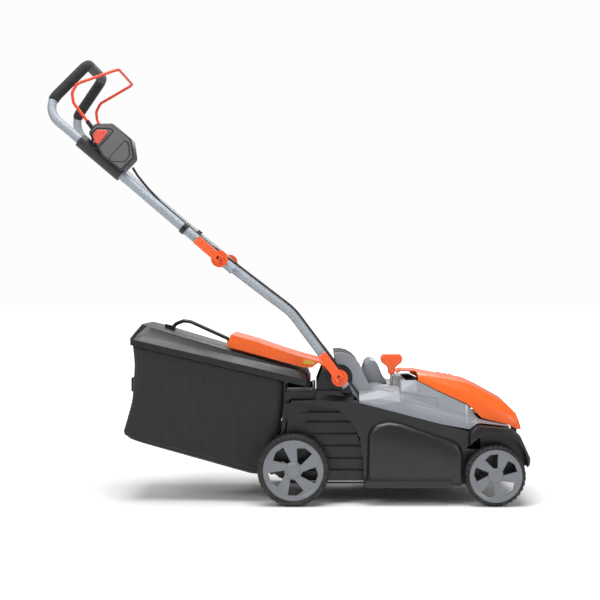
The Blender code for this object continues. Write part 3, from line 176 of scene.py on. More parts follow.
def surface_group(name, numbers):
    """A node group that takes a colour and some numbers and gives a colour, a roughness and a height: its
    tree, its inputs and outputs by name, and the object coordinates."""
    tree = bpy.data.node_groups.new(name, "ShaderNodeTree")
    for way, labels in (("INPUT", ("Colour", *numbers)), ("OUTPUT", ("Colour", "Roughness", "Height"))):
        for label in labels:
            kind = "NodeSocketColor" if label == "Colour" else "NodeSocketFloat"
            tree.interface.new_socket(label, in_out=way, socket_type=kind)
    place = node(tree, "ShaderNodeTexCoord").outputs["Object"]
    return tree, node(tree, "NodeGroupInput").outputs, node(tree, "NodeGroupOutput").inputs, place


def noise(tree, place, scale, detail, roughness=0.5):
    """A cloudy value from 0 to 1 over a place."""
    ins = {"Scale": scale, "Detail": detail, "Roughness": roughness}
    return node(tree, "ShaderNodeTexNoise", ins, {"Vector": place}).outputs["Fac"]


def swing(tree, value):
    """The middle part of a noise, spread from -1 to 1."""
    return remap(tree, value, 0.3, 0.7, -1.0, 1.0)


def scaled(tree, colour, gain):
    """A colour times a number."""
    feed = {0: colour, "Scale": gain}
    return node(tree, "ShaderNodeVectorMath", (), feed, operation="SCALE").outputs["Vector"]


def moulded_surface():
    """Group for moulded plastic: a cloudy tint, patchy polish, a fine spark grain, and dust low down."""
    tree, given, out, place = surface_group("moulded_surface", ("Roughness", "Clouding", "Patches", "Dust"))
    share = maths(tree, "MULTIPLY", swing(tree, noise(tree, place, 9.0, 4.0, 0.55)), given["Clouding"])
    gain = node(tree, "ShaderNodeMath", {1: 1.0}, {0: share}, operation="ADD").outputs[0]
    height = node(tree, "ShaderNodeSeparateXYZ", (), {0: place}).outputs["Z"]
    flecks = remap(tree, noise(tree, place, 55.0, 6.0, 0.7), 0.42, 0.72)
    settled_dust = maths(tree, "MULTIPLY", remap(tree, height, 0.16, 0.02), flecks)
    dust = maths(tree, "MULTIPLY", settled_dust, given["Dust"])
    dusty = node(tree, "ShaderNodeMix", {"B": (0.20, 0.18, 0.15, 1)},
                 {"Factor": dust, "A": scaled(tree, given["Colour"], gain)}, data_type="RGBA")
    tree.links.new(dusty.outputs["Result"], out["Colour"])
    polish = maths(tree, "MULTIPLY", swing(tree, noise(tree, place, 28.0, 5.0, 0.6)), given["Patches"])
    tree.links.new(maths(tree, "ADD", polish, given["Roughness"], use_clamp=True), out["Roughness"])
    tree.links.new(noise(tree, place, 900.0, 3.0, 0.6), out["Height"])
    return tree


def from_group(name, group, ins, bump, values):
    """A material whose colour, roughness and bump come from a surface group. bump gives its strength and
    its depth in metres."""
    paint, tree, shader = new_paint(name, values)
    skin = node(tree, "ShaderNodeGroup", ins, node_tree=group).outputs
    strength, depth = bump
    relief = node(tree, "ShaderNodeBump", {"Strength": strength, "Distance": depth},
                  {"Height": skin["Height"]})
    tree.links.new(skin["Colour"], shader.inputs["Base Color"])
    tree.links.new(skin["Roughness"], shader.inputs["Roughness"])
    tree.links.new(relief.outputs["Normal"], shader.inputs["Normal"])
    return paint


MOULDED = moulded_surface()


def plastic(name, colour, roughness, grain=0.00012, clouding=0.05, patches=0.05, dust=0.0, coat=0.0,
            shine=0.5):
    """A moulded plastic: grain is its texture's depth in metres."""
    ins = {"Colour": colour, "Roughness": roughness, "Clouding": clouding, "Patches": patches, "Dust": dust}
    return from_group(name, MOULDED, ins, (0.6, grain), {
        "Specular IOR Level": shine, "Coat Weight": coat, "Coat Roughness": 0.12})


def finish(obj, paint, body, stands_for=()):
    """Paint a made piece, put it on its body and hide the CAD parts it stands for."""
    obj.data.materials.clear()
    obj.data.materials.append(paint)
    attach(obj, body)
    if stands_for:
        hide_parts(*stands_for)
    return obj


def eased(obj, width, angle, steps=2):
    """A bevel that rounds over every edge sharper than an angle in degrees."""
    bevel = obj.modifiers.new("rounded_edges", "BEVEL")
    bevel.width = width
    bevel.segments = steps
    bevel.angle_limit = radians(angle)
    return bevel


def rounded_copy(cad, paint, edge=0.0008, smooth=32, steps=2):
    """A copy of a CAD piece with its corners merged, its flats joined and its edges rounded over."""
    source = frame["nodes"][cad]
    work = bmesh.new()
    work.from_mesh(source.data)
    bmesh.ops.remove_doubles(work, verts=work.verts, dist=CAD_MERGE)
    bmesh.ops.dissolve_limit(work, angle_limit=FLAT_WITHIN, verts=work.verts, edges=work.edges)
    work.verts.index_update()
    points = [v.co.copy() for v in work.verts]
    faces = [[v.index for v in f.verts] for f in work.faces]
    work.free()
    mesh = bpy.data.meshes.new(f"{cad}_finish")
    mesh.from_pydata(points, [], faces)
    mesh.shade_smooth()
    mesh.set_sharp_from_angle(angle=radians(smooth))
    obj = new_object(f"{cad}_finish", mesh)
    if edge:
        eased(obj, edge, smooth, steps).harden_normals = True
    return finish(obj, paint, source["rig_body"], [cad])


CHARCOAL = plastic("charcoal_housing", ink(22, 22, 24), 0.33, grain=0.00008, clouding=0.04, dust=0.04)
BLACK = plastic("black_moulding", ink(14, 14, 15), 0.34, grain=0.00008)
rounded_copy("deck", CHARCOAL, 0.0012)
for side in SIDES.values():
    rounded_copy(f"pivot_disc_{side}", BLACK, 0.0006)

# ---- skirt groove ---------------------------------------------------------------------------------
# A thin black strip on each side is painted shade: it stands for the shadow in the groove between the
# side panel and the skirt strip below it. Its two ends shrink to a point.
GROOVE_X = [0.1800, 0.1805, 0.3695, 0.3700]
GROOVE_Y, GROOVE_Z = 0.1762, 0.0608
GROOVE_SECTION = np.array([(-0.0030, -0.0022), (0.0008, -0.0022), (0.0008, 0.0022), (-0.0030, 0.0022)])
ENDS_SHUT = np.array([0.001, 1, 1, 0.001])


def grid_mesh(name, points, around=False, along=False, ends=False):
    """A sheet over a grid of points (rows, columns, xyz). around joins the last column to the first,
    along the last row to the first, and ends closes the first and last rows with a face each."""
    rows, columns = points.shape[:2]
    index = np.arange(rows * columns).reshape(rows, columns)
    if around:
        index = np.hstack([index, index[:, :1]])
    if along:
        index = np.vstack([index, index[:1]])
    quads = np.stack([index[:-1, :-1], index[:-1, 1:], index[1:, 1:], index[1:, :-1]], axis=-1)
    faces = quads.reshape(-1, 4).tolist()
    if ends:
        faces += [index[0, :columns][::-1].tolist(), index[-1, :columns].tolist()]
    mesh = bpy.data.meshes.new(name)
    mesh.from_pydata(points.reshape(-1, 3).tolist(), [], faces)
    mesh.validate()
    return new_object(name, mesh)


def outward(obj, smooth=40):
    """Merge doubled points, turn every face outwards and shade smooth up to an angle in degrees."""
    work = bmesh.new()
    work.from_mesh(obj.data)
    bmesh.ops.remove_doubles(work, verts=work.verts, dist=1e-6)
    bmesh.ops.recalc_face_normals(work, faces=work.faces)
    work.to_mesh(obj.data)
    work.free()
    obj.data.shade_smooth()
    obj.data.set_sharp_from_angle(angle=radians(smooth))
    return obj


def joined(name, parts):
    """Several grids as one mesh: a list of (points, around, along, ends)."""
    made = [grid_mesh(f"{name}_{k}", *part) for k, part in enumerate(parts)]
    work = bmesh.new()
    for piece in made:
        work.from_mesh(piece.data)
        bpy.data.objects.remove(piece)
    mesh = bpy.data.meshes.new(name)
    work.to_mesh(mesh)
    work.free()
    return new_object(name, mesh)


def bar(x, y, z, section):
    """Grid of a bar along X through four x values. Its section of (y, z) offsets is whole at the middle two
    and shrinks to a point at the outer two. z is one height or four."""
    share = ENDS_SHUT[:, None]
    return np.stack([np.broadcast_to(np.array(x)[:, None], (4, len(section))), y + share * section[:, 0],
                     np.broadcast_to(z, 4)[:, None] + share * section[:, 1]], axis=-1)


for side, tag in SIDES.items():
    groove = bar(GROOVE_X, side * GROOVE_Y, GROOVE_Z, GROOVE_SECTION * (side, 1))
    # Painted shade: a black strip laid where the groove's shadow falls.
    strip = outward(joined(f"skirt_seal_{tag}", [(groove, True, False, False)]), 30)
    finish(strip, BLACK, "deck_body")

# ---- cooling fins ---------------------------------------------------------------------------------
# Seven thin horizontal fins on each side of the deck's waist, moulded on between the rear wheel and
# the side panel. Each is a flattened bar that runs forward until the panel's arch cuts it off.
FIN_HEIGHTS = np.array([0.048, 0.077, 0.104, 0.133, 0.161, 0.189, 0.212])
FIN_FRONT = np.interp(FIN_HEIGHTS, [0.045, 0.104, 0.154, 0.190, 0.222], [0.175, 0.172, 0.165, 0.147, 0.112])
FIN_REAR = 0.026
FIN_ROOT_Y = 0.1372
FIN_HALF_HIGH, FIN_HALF_DEEP = 0.0012, 0.0105
FIN_SIDES = 20
FIN_SQUARENESS = 0.6  # the superellipse's power: 1 is an ellipse and 0 a rectangle
FIN_TIP = 0.0008

fin_turn = np.linspace(0, 2 * pi, FIN_SIDES, endpoint=False)
fin_section = np.stack([np.sign(swung) * np.abs(swung) ** FIN_SQUARENESS * half for swung, half in (
    (np.cos(fin_turn), FIN_HALF_DEEP), (np.sin(fin_turn), FIN_HALF_HIGH))], axis=1)
for side, tag in SIDES.items():
    fins = [(bar([FIN_REAR, FIN_REAR + FIN_TIP, front - FIN_TIP, front], side * FIN_ROOT_Y, z, fin_section),
             True, False, True) for z, front in zip(FIN_HEIGHTS, FIN_FRONT)]
    finish(outward(joined(f"waist_fins_{tag}", fins)), CHARCOAL, "deck_body")

# ---- rear brackets --------------------------------------------------------------------------------
# Two flat black plates on each handle ear, a shelf on its top edge and a cheek below it. They close
# the gap to the bag and hide the chute's side from view.
SHELF_PLATE = np.array([(-0.0120, 0.2425), (-0.0120, 0.2600), (0.0460, 0.2600), (0.0570, 0.2660),
                        (0.0620, 0.2660), (0.0620, 0.2425)])
CHEEK_PLATE = np.array([(-0.0100, 0.2340), (0.0440, 0.2340), (0.0440, 0.1980), (0.0300, 0.1800),
                        (-0.0020, 0.1800)])


def plate(outline, low, high):
    """Grid of a flat plate: one outline of (x, z) at four depths, the outer two shrunk to a point."""
    middle = outline.mean(axis=0)
    rows = [middle + share * (outline - middle) for share in ENDS_SHUT]
    return np.array([np.insert(row, 1, y, axis=1) for row, y in zip(rows, (low, low, high, high))])


for side, tag in SIDES.items():
    bracket = outward(joined(f"ear_plate_{tag}", [
        (plate(SHELF_PLATE, side * 0.1345, side * 0.1392), True, False, False),
        (plate(CHEEK_PLATE, side * 0.1395, side * 0.1460), True, False, False)]), 30)
    finish(bracket, BLACK, "deck_body")

# ---- top cover ------------------------------------------------------------------------------------
# The silver upper cover in painted ABS with a satin coat. Its crease lines stay crisp, and it clips
# down on the charcoal housing all round.
SILVER = plastic("silver_cover", ink(128, 132, 138), 0.32, grain=0.00004, clouding=0.02, coat=0.15)
FLANK_Y, FLANK_Z, FLANK_X = 0.116, 0.168, (0.180, 0.425)  # the part of the cover that is creased
CREASE_ROUNDS = 7
cover = rounded_copy("body_cover", SILVER, 0)


def drawn_in(x, z):
    """How far the cover's flank lies inside its plain curve, in metres: nothing below the band, a ramp
    up across the band, then a wall, with a shallow sunk wedge between two creases at the rear."""
    low = np.interp(x, [0.262, 0.363, 0.413], [0.2265, 0.1980, 0.1830])
    high = np.interp(x, [0.285, 0.347, 0.417], [0.2335, 0.2180, 0.2020])
    ramp = np.clip((z - low) / (high - low), 0, 1)
    easing = np.clip((z - high) / 0.030, 0, 1)
    band = 0.0042 * ramp * (1 - 0.7 * easing)
    band = band * np.clip((x - 0.262) / 0.030, 0, 1) * np.clip((0.416 - x) / 0.003, 0, 1)
    upper = np.interp(x, [0.185, 0.229, 0.339, 0.347], [0.275, 0.266, 0.246, 0.245])
    lower = np.interp(x, [0.189, 0.259, 0.344], [0.273, 0.250, 0.221])
    inside = np.clip((upper - z) / 0.0015, 0, 1) * np.clip((z - lower) / 0.0015, 0, 1)
    inside = inside * np.clip((x - 0.187) / 0.002, 0, 1) * np.clip((0.347 - x) / 0.0015, 0, 1)
    return band + 0.0016 * inside


def creased(obj, fine=0.0032):
    """Cut the flanks into small facets and draw them in, both skins of the wall alike."""
    work = bmesh.new()
    work.from_mesh(obj.data)
    bmesh.ops.triangulate(work, faces=work.faces)
    for _ in range(CREASE_ROUNDS):
        long_edges = [e for e in work.edges if e.calc_length() > fine
                      and min(abs(v.co.y) for v in e.verts) > FLANK_Y
                      and min(v.co.z for v in e.verts) > FLANK_Z
                      and max(v.co.x for v in e.verts) > FLANK_X[0]
                      and min(v.co.x for v in e.verts) < FLANK_X[1]]
        if not long_edges:
            break
        bmesh.ops.subdivide_edges(work, edges=long_edges, cuts=1)
        bmesh.ops.triangulate(work, faces=work.faces)
    spots = np.array([v.co[:] for v in work.verts])
    inward = drawn_in(spots[:, 0], spots[:, 2]) * np.clip((np.abs(spots[:, 1]) - 0.118) / 0.006, 0, 1)
    spots[:, 1] -= np.sign(spots[:, 1]) * inward
    for vert, spot in zip(work.verts, spots):
        vert.co = spot
    work.to_mesh(obj.data)
    work.free()
    obj.data.shade_smooth()
    obj.data.set_sharp_from_angle(angle=radians(24))


creased(cover)

# ---- hood and its vents ---------------------------------------------------------------------------
# The orange battery hood in glossy ABS, hinged at the front. Low rails of the same plastic stand in a
# row across its crown. Their count, three, is a guess.
ORANGE = plastic("orange_hood", ink(238, 98, 26), 0.30, grain=0.00001, clouding=0.02, coat=0.08)
rounded_copy("battery_hood", ORANGE, 0.0018, smooth=24, steps=3)
VENT_X = (0.366, 0.380, 0.394)
VENT_HALF = 0.078
VENT_ROWS, VENT_SIDES = 25, 12
CROWN_X, CROWN_Z, SHOULDER_Z, SHOULDER_Y = [0.352, 0.418], [0.2960, 0.2850], [0.2910, 0.2780], 0.107


def vent_rail(x):
    """Grid of a low rounded rail across the hood at one x, following the crown's fall to each side."""
    y = np.linspace(-VENT_HALF, VENT_HALF, VENT_ROWS)
    crown = np.interp(x, CROWN_X, CROWN_Z)
    shoulder = np.interp(x, CROWN_X, SHOULDER_Z)
    z = crown + (shoulder - crown) * (np.abs(y) / SHOULDER_Y)
    ends = np.clip((VENT_HALF - np.abs(y)) / 0.004, 0.001, 1.0)
    turn = np.linspace(0, 2 * pi, VENT_SIDES, endpoint=False)
    return np.stack([x + 0.0022 * np.cos(turn)[None, :] * ends[:, None],
                     np.broadcast_to(y[:, None], (VENT_ROWS, VENT_SIDES)),
                     z[:, None] + 0.0020 * np.sin(turn)[None, :] * ends[:, None]], axis=-1)


vent_rails = outward(joined("hood_vent_rails", [(vent_rail(x), True, False, True) for x in VENT_X]))
finish(vent_rails, ORANGE, "hood")

# ---- rear flap ------------------------------------------------------------------------------------
# The orange flap over the chute, the same glossy plastic as the hood, hinged on a steel rod between
# the ears. A blank yellow label lies on each of its two cheeks.
rounded_copy("rear_flap", ORANGE, 0.0012, smooth=28)
YELLOW = plastic("blank_label", ink(214, 176, 66), 0.40, grain=0.00001)
LABEL = np.array([(0.0330, 0.3225), (0.0585, 0.3215), (0.0585, 0.3285), (0.0330, 0.3340)])
for side, tag in SIDES.items():
    sticker = outward(joined(f"blank_label_{tag}", [
        (plate(LABEL, side * 0.1043, side * 0.10475), True, False, False)]), 30)
    finish(sticker, YELLOW, "flap")

# ---- wheels ---------------------------------------------------------------------------------------
# Four wheels: a silver moulded rim with five spokes, pushed on its axle stub, and a hard rubber tyre
# with a band of tread blocks on each shoulder. The blocks on the two shoulders are half a pitch apart.
RUBBER = plastic("tyre_rubber", ink(34, 34, 35), 0.62, grain=0.0002, clouding=0.10, dust=0.25, shine=0.3)
RIM = plastic("rim_silver", ink(112, 115, 120), 0.33, grain=0.00004, clouding=0.03, coat=0.1)
WHEEL_FACE_Y = 0.190
SPOKES = 5
STEPS_PER_LUG = 8
WHEELS = {"rear": {"x": 0.010, "r": 0.083, "rim": 0.070, "width": 0.037, "lugs": 40, "spoke": radians(-17)},
          "front": {"x": 0.475, "r": 0.070, "rim": 0.061, "width": 0.031, "lugs": 34, "spoke": radians(26)}}


def tyre_grid(spec, side):
    """Ring grid of a tyre: a profile of (radius, depth) turned about the axle. Between blocks the
    radius drops by the groove's depth, on the shoulders only, with softened block edges."""
    turn = np.linspace(0, 2 * pi, spec["lugs"] * STEPS_PER_LUG, endpoint=False)
    face, seat, r = WHEEL_FACE_Y - 0.0015, spec["rim"] + 0.0004, spec["r"]
    inner = WHEEL_FACE_Y - spec["width"]
    depth = np.array([inner, inner, inner + 0.0015, inner + 0.005, inner + 0.011, (inner + face) / 2 - 0.001,
                      (inner + face) / 2 + 0.001, face - 0.011, face - 0.0055, face - 0.002, face, face])
    radius = np.array([seat, r - 0.0055, r - 0.003, r - 0.0006, r, r,
                       r, r, r - 0.0006, r - 0.0025, r - 0.0050, seat])
    groove = np.array([0, 0.0006, 0.0020, 0.0024, 0.0022, 0.0, 0.0, 0.0022, 0.0024, 0.0020, 0.0006, 0])
    shift = np.where(depth < (inner + face) / 2, 0.5, 0.0)
    phase = (turn[None, :] * spec["lugs"] / (2 * pi) + shift[:, None]) % 1.0
    gap = np.clip((0.17 - np.abs(phase - 0.5)) / 0.06, 0, 1)
    dented = radius[:, None] - groove[:, None] * gap
    return np.stack([spec["x"] + dented * np.sin(turn), np.broadcast_to(side * depth[:, None], dented.shape),
                     spec["r"] - dented * np.cos(turn)], axis=-1)


def turned(profile, centre, side, count=120):
    """Grid of a profile of (radius, depth) turned about a line along Y through centre (x, z)."""
    turn = np.linspace(0, 2 * pi, count, endpoint=False)
    profile = np.array(profile)
    reach = np.maximum(profile[:, :1], 1e-5)
    return np.stack([centre[0] + reach * np.sin(turn),
                     np.broadcast_to(side * profile[:, 1:], (len(profile), count)),
                     centre[1] - reach * np.cos(turn)], axis=-1)


def settled(obj):
    """Apply every modifier on a piece, so that its mesh is final."""
    graph = bpy.context.evaluated_depsgraph_get()
    mesh = bpy.data.meshes.new_from_object(obj.evaluated_get(graph))
    obj.modifiers.clear()
    obj.data = mesh
    return obj


def rim_piece(tag, spec, side):
    """A rim turned from its profile, with five windows cut through its web and their edges rounded."""
    seat, face, inner = spec["rim"], WHEEL_FACE_Y, WHEEL_FACE_Y - spec["width"]
    web = face - 0.009
    profile = [(0, face - 0.0045), (0.0059, face - 0.0045), (0.0059, inner + 0.002), (0.015, inner + 0.002),
               (0.017, web), (seat - 0.007, web), (seat - 0.004, inner + 0.004), (seat, inner + 0.001),
               (seat, face - 0.0025), (seat - 0.0012, face - 0.0008), (seat - 0.0035, face),
               (seat - 0.0062, face - 0.0004), (seat - 0.0085, face - 0.0022), (seat - 0.012, face - 0.0030),
               (0.0195, face - 0.0040), (0.0175, face - 0.0036), (0.0160, face - 0.0018),
               (0.0140, face - 0.0010), (0.0060, face - 0.0010), (0, face - 0.0010)]
    rim = outward(grid_mesh(f"rim_{tag}_finish", turned(profile, (spec["x"], spec["r"]), side), True), 30)
    low, high = 0.30 * seat, 0.83 * seat
    corners = np.array([(low, -0.35), (low, 0.14), (0.74 * seat, 0.46), (high, 0.12), (high, -0.24)])
    for k in range(SPOKES):
        lean = 2 * pi * k / SPOKES + spec["spoke"]
        window = np.column_stack([spec["x"] + corners[:, 0] * np.cos(lean + corners[:, 1]),
                                  spec["r"] + corners[:, 0] * np.sin(lean + corners[:, 1])])
        cutter = plate(window, side * (web - 0.01), side * (face + 0.01))
        tool = outward(grid_mesh(f"window_{k}", cutter, True))
        hole = rim.modifiers.new("window", "BOOLEAN")
        hole.operation = "DIFFERENCE"
        hole.object = tool
    settled(rim)
    for tool in [o for o in bpy.data.objects if o.name.startswith("window_")]:
        bpy.data.objects.remove(tool)
    eased(rim, 0.0009, 32).harden_normals = True
    return rim


for end, spec in WHEELS.items():
    for side, tag in SIDES.items():
        tyre = outward(grid_mesh(f"tyre_{end}_{tag}_finish", tyre_grid(spec, side), True, True), 38)
        finish(tyre, RUBBER, f"wheel_{end}_{tag}", [f"tyre_{end}_{tag}"])
        rim = rim_piece(f"{end}_{tag}", spec, side)
        finish(rim, RIM, f"wheel_{end}_{tag}", [f"rim_{end}_{tag}"])

# ---- axles, link and height lever -----------------------------------------------------------------
# Bright zinc-plated steel: two cranked axles, the flat link between them, and the lever that moves
# both, with its bracket. The lever ends in an orange moulded knob.


def metal_surface():
    """Group for bare or painted metal: a faint change of tint and a fine change of polish."""
    tree, given, out, place = surface_group("metal_surface", ("Roughness", "Spread"))
    gain = remap(tree, noise(tree, place, 14.0, 3.0), 0.3, 0.7, 0.965, 1.035)
    tree.links.new(scaled(tree, given["Colour"], gain), out["Colour"])
    grain = noise(tree, place, 420.0, 5.0, 0.7)
    polish = maths(tree, "MULTIPLY", swing(tree, grain), given["Spread"])
    tree.links.new(maths(tree, "ADD", polish, given["Roughness"], use_clamp=True), out["Roughness"])
    tree.links.new(grain, out["Height"])
    return tree


METALLED = metal_surface()


def metal(name, colour, roughness, metallic, spread=0.08, depth=0.00002, coat=0.0):
    """A metal or metallic paint: depth is its grain's depth in metres."""
    ins = {"Colour": colour, "Roughness": roughness, "Spread": spread}
    return from_group(name, METALLED, ins, (0.4, depth), {
        "Metallic": metallic, "Coat Weight": coat, "Coat Roughness": 0.15})


STEEL = metal("zinc_steel", ink(188, 188, 184), 0.32, 1.0)
for cad in ("rear_axle", "front_axle", "height_link", "height_lever", "lever_bracket", "hood_hinge_rod",
            "flap_hinge_rod"):
    rounded_copy(cad, STEEL, 0.0004)
GLOSS_ORANGE = plastic("orange_levers", ink(232, 90, 38), 0.32, grain=0.00001, clouding=0.02, coat=0.05)
rounded_copy("height_knob", GLOSS_ORANGE, 0.0012, smooth=28, steps=3)

# ---- cutting gear and electrics -------------------------------------------------------------------
# Under the covers: the motor can with its spindle, the forged blade on its moulded carrier and bolt,
# the battery in its tray, the controller, and the safety key in its socket.
MOTOR = metal("motor_case", ink(96, 98, 102), 0.46, 0.6)
BLADE = metal("blade_steel", ink(120, 121, 122), 0.40, 0.9, spread=0.14, depth=0.00006)
for cad in ("motor_spindle", "blade_bolt"):
    rounded_copy(cad, STEEL, 0.0004)
rounded_copy("blade", BLADE, 0.0005)
rounded_copy("motor_housing", MOTOR, 0.0008)
for cad, edge in (("blade_carrier", 0.0006), ("battery_tray", 0.0008), ("battery_pack", 0), ("controller", 0),
                  ("key_socket", 0.0008)):
    rounded_copy(cad, BLACK, edge)
rounded_copy("safety_key", GLOSS_ORANGE, 0)

# ---- handle tubes ---------------------------------------------------------------------------------
# Painted steel tube, 20 mm below the folding clamps and 21 mm above them, in metallic silver. The two
# lower legs are separate, and the upper handle is one long bend.
LEG_SLOPE = radians(40.4)
PIVOT = np.array([0.117, 0.293])
BEND = np.array([0.004, 0.444])
CLAMP = np.array([-0.160, 0.569])
LEG = np.array([-cos(LEG_SLOPE), sin(LEG_SLOPE)])
LEG_NORMAL = np.array([sin(LEG_SLOPE), cos(LEG_SLOPE)])
TUBE_PAINT = metal("tube_paint", ink(150, 157, 165), 0.42, 0.15, spread=0.02, depth=0.000001)


def unit(v):
    """The same direction at length 1."""
    return v / np.linalg.norm(v)


def rounded_path(corners, radii, step=4.0):
    """A path through corners, each inner corner swapped for an arc of its radius in steps of degrees."""
    corners = [np.array(c, float) for c in corners]
    path = [corners[0]]
    for before, here, after, r in zip(corners, corners[1:], corners[2:], radii):
        into, out = unit(here - before), unit(after - here)
        turn = np.arccos(np.clip(into @ out, -1, 1))
        if turn < 1e-4:
            continue
        side = unit(np.cross(np.cross(into, out), into))
        centre = here - into * r * np.tan(turn / 2) + side * r
        count = max(3, int(np.degrees(turn) / step))
        angle = np.linspace(0, turn, count + 1)[:, None]
        path += list(centre - side * r * np.cos(angle) + into * r * np.sin(angle))
    path.append(corners[-1])
    return np.array(path)


def spaced(path, pitch):
    """The same path at even spacing."""
    run = np.concatenate([[0], np.cumsum(np.linalg.norm(np.diff(path, axis=0), axis=1))])
    count = max(2, int(run[-1] / pitch) + 1)
    at = np.linspace(0, run[-1], count)
    return np.column_stack([np.interp(at, run, path[:, k]) for k in range(3)])


def carried(path, radius, sides=28):
    """A circle carried along a path: each ring is turned with the path and never twists about it.
    radius is one number or one for each ring."""
    heading = np.gradient(path, axis=0)
    heading /= np.linalg.norm(heading, axis=1)[:, None]
    across = np.cross(heading[0], (0, 1, 0.1))
    rows = []
    for h in heading:
        across = unit(across - h * (across @ h))
        rows.append((across, np.cross(h, across)))
    first = np.array([a for a, _ in rows])[:, None, :]
    second = np.array([b for _, b in rows])[:, None, :]
    turn = np.linspace(0, 2 * pi, sides, endpoint=False)[None, :, None]
    reach = np.broadcast_to(np.asarray(radius, float), (len(path),))[:, None, None]
    return path[:, None, :] + reach * (first * np.cos(turn) + second * np.sin(turn))


def pipe(name, path, outer, inner, sides=28):
    """An open pipe: the outer skin out along the path, the inner skin back, joined at both ends."""
    skin, bore = carried(path, outer, sides), carried(path, inner, sides)
    rows = np.concatenate([skin, bore[::-1]])
    return outward(grid_mesh(name, rows, True, True), 35)


down_leg, up_leg = unit(PIVOT - BEND), unit(CLAMP - BEND)
foot, top = PIVOT + down_leg * 0.026, CLAMP + up_leg * 0.019
for side, tag in SIDES.items():
    corners = [(p[0], side * 0.1405, p[1]) for p in (foot, BEND, top)]
    leg = pipe(f"lower_tube_{tag}_finish", rounded_path(corners, [0.14], 1.5), 0.010, 0.0085)
    finish(leg, TUBE_PAINT, "lower_handle", [f"lower_tube_{tag}"])

low_end, leg_top = CLAMP - LEG * 0.040, CLAMP + LEG * 0.466
half_route = [(low_end[0], 0.162, low_end[1]), (leg_top[0], 0.1565, leg_top[1]), (-0.5710, 0.1545, 0.9170),
              (-0.4775, 0.100, 1.0315)]
handle_corners = [(x, -y, z) for x, y, z in half_route] + half_route[::-1]
handle_path = rounded_path(handle_corners, [0.09, 0.05, 0.03, 0.03, 0.05, 0.09], 3)
finish(pipe("upper_handle_finish", handle_path, 0.0105, 0.009), TUBE_PAINT, "upper_frame",
       ["upper_handle"])

# ---- foam grip ------------------------------------------------------------------------------------
# A sleeve of black closed-cell foam, pushed over the handle's loop and cut square at its two ends.
# Its skin is matt, with fine open pores and shallow dents along its length.
foam, tree, shader = new_paint("grip_foam", {
    "Roughness": 0.78, "Specular IOR Level": 0.35, "Sheen Weight": 0.15})
foam_place = node(tree, "ShaderNodeTexCoord").outputs["Object"]
foam_pores = node(tree, "ShaderNodeTexVoronoi", {"Scale": 620.0}, {"Vector": foam_place}).outputs["Distance"]
foam_tint = node(tree, "ShaderNodeMix", {"A": ink(22, 21, 21), "B": ink(36, 34, 34)},
                 {"Factor": noise(tree, foam_place, 60.0, 5.0)}, data_type="RGBA")
foam_bump = node(tree, "ShaderNodeBump", {"Strength": 0.8, "Distance": 0.0003}, {"Height": foam_pores})
tree.links.new(foam_tint.outputs["Result"], shader.inputs["Base Color"])
tree.links.new(foam_bump.outputs["Normal"], shader.inputs["Normal"])

FOAM_FROM_Z = 0.936  # the sleeve starts where the loop rises above this height
FOAM_PITCH = 0.002
foam_path = spaced(handle_path, FOAM_PITCH)
foam_path = foam_path[foam_path[:, 2] > FOAM_FROM_Z]
run = np.linspace(0, 1, len(foam_path))
ease = np.clip(np.minimum(run, 1 - run) * len(foam_path) / 2.0, 0, 1)
foam_radius = 0.0110 + 0.0015 * np.sqrt(ease) * (1 - 0.015 * np.sin(run * 140) * np.sin(run * 31))
sleeve = pipe("foam_sleeve", foam_path, foam_radius, 0.0108, 40)
finish(sleeve, foam, "upper_frame", ["foam_grip"])

# ---- folding clamps -------------------------------------------------------------------------------
# Two cam clamps on each side, moulded in orange: a round seat against the tube with a steel stud, and
# a lever on a cross pin. Four cross ribs near the lever's tip give the thumb a hold.
for where in ("lower", "upper"):
    for tag in SIDES.values():
        rounded_copy(f"clamp_seat_{where}_{tag}", GLOSS_ORANGE, 0.0005)
        rounded_copy(f"clamp_lever_{where}_{tag}", GLOSS_ORANGE, 0.0009, steps=3)


def thumb_ribs(where, side):
    """Grids of four short bars across a clamp lever, on its outer face and near its tip."""
    along = LEG if where == "upper" else unit(BEND - PIVOT)
    at = CLAMP if where == "upper" else PIVOT
    seat_y = 0.1725 if where == "upper" else 0.1505
    out = seat_y + 0.0106 + 0.0020
    across = np.array([-along[1], along[0]])
    bars = []
    for t in (0.046, 0.050, 0.054, 0.058):
        lift = out + np.interp(t, [0.026, 0.050, 0.068], [0.0033, 0.0012, -0.0008])
        spots = np.array([at + along * t + across * s for s in np.linspace(-0.0075, 0.0075, 9)])
        path = np.column_stack([spots[:, 0], np.full(9, side * lift), spots[:, 1]])
        bars.append((carried(path, [0.0001] + [0.0011] * 7 + [0.0001], 10), True, False, True))
    return bars


for where in ("lower", "upper"):
    for side, tag in SIDES.items():
        ribs = outward(joined(f"thumb_ribs_{where}_{tag}", thumb_ribs(where, side)))
        finish(ribs, GLOSS_ORANGE, f"{where}_clamp_{tag}")

# ---- switch box -----------------------------------------------------------------------------------
# Two dark halves round the right leg. The outer half has a paler raised panel with two thin raised black
# lines on it: one frames the window for the lock-off button, the other a blank area in front of it.
FACE_GREY = plastic("switch_face", ink(94, 94, 97), 0.42, grain=0.00006)
BOX_GREY = plastic("switch_halves", ink(44, 43, 44), 0.40, grain=0.00010)
for cad in ("switch_outer", "switch_inner"):
    rounded_copy(cad, BOX_GREY, 0)
rounded_copy("bail_bracket", BOX_GREY, 0.0006)
BUTTON = plastic("lock_off_red", ink(214, 82, 68), 0.34, grain=0.00002, coat=0.2)
rounded_copy("lock_off_button", BUTTON, 0.0004)


def raised_line(points, y, half=0.0007, closed=True):
    """Grid of a thin raised line on a flat face at depth y, along points (x, z)."""
    points = np.array(points, float)
    if closed:
        points = np.vstack([points, points[:1]])
    path = np.column_stack([points[:, 0], np.full(len(points), y), points[:, 1]])
    return (carried(spaced(path, 0.0015), half, 8), True, False, True)


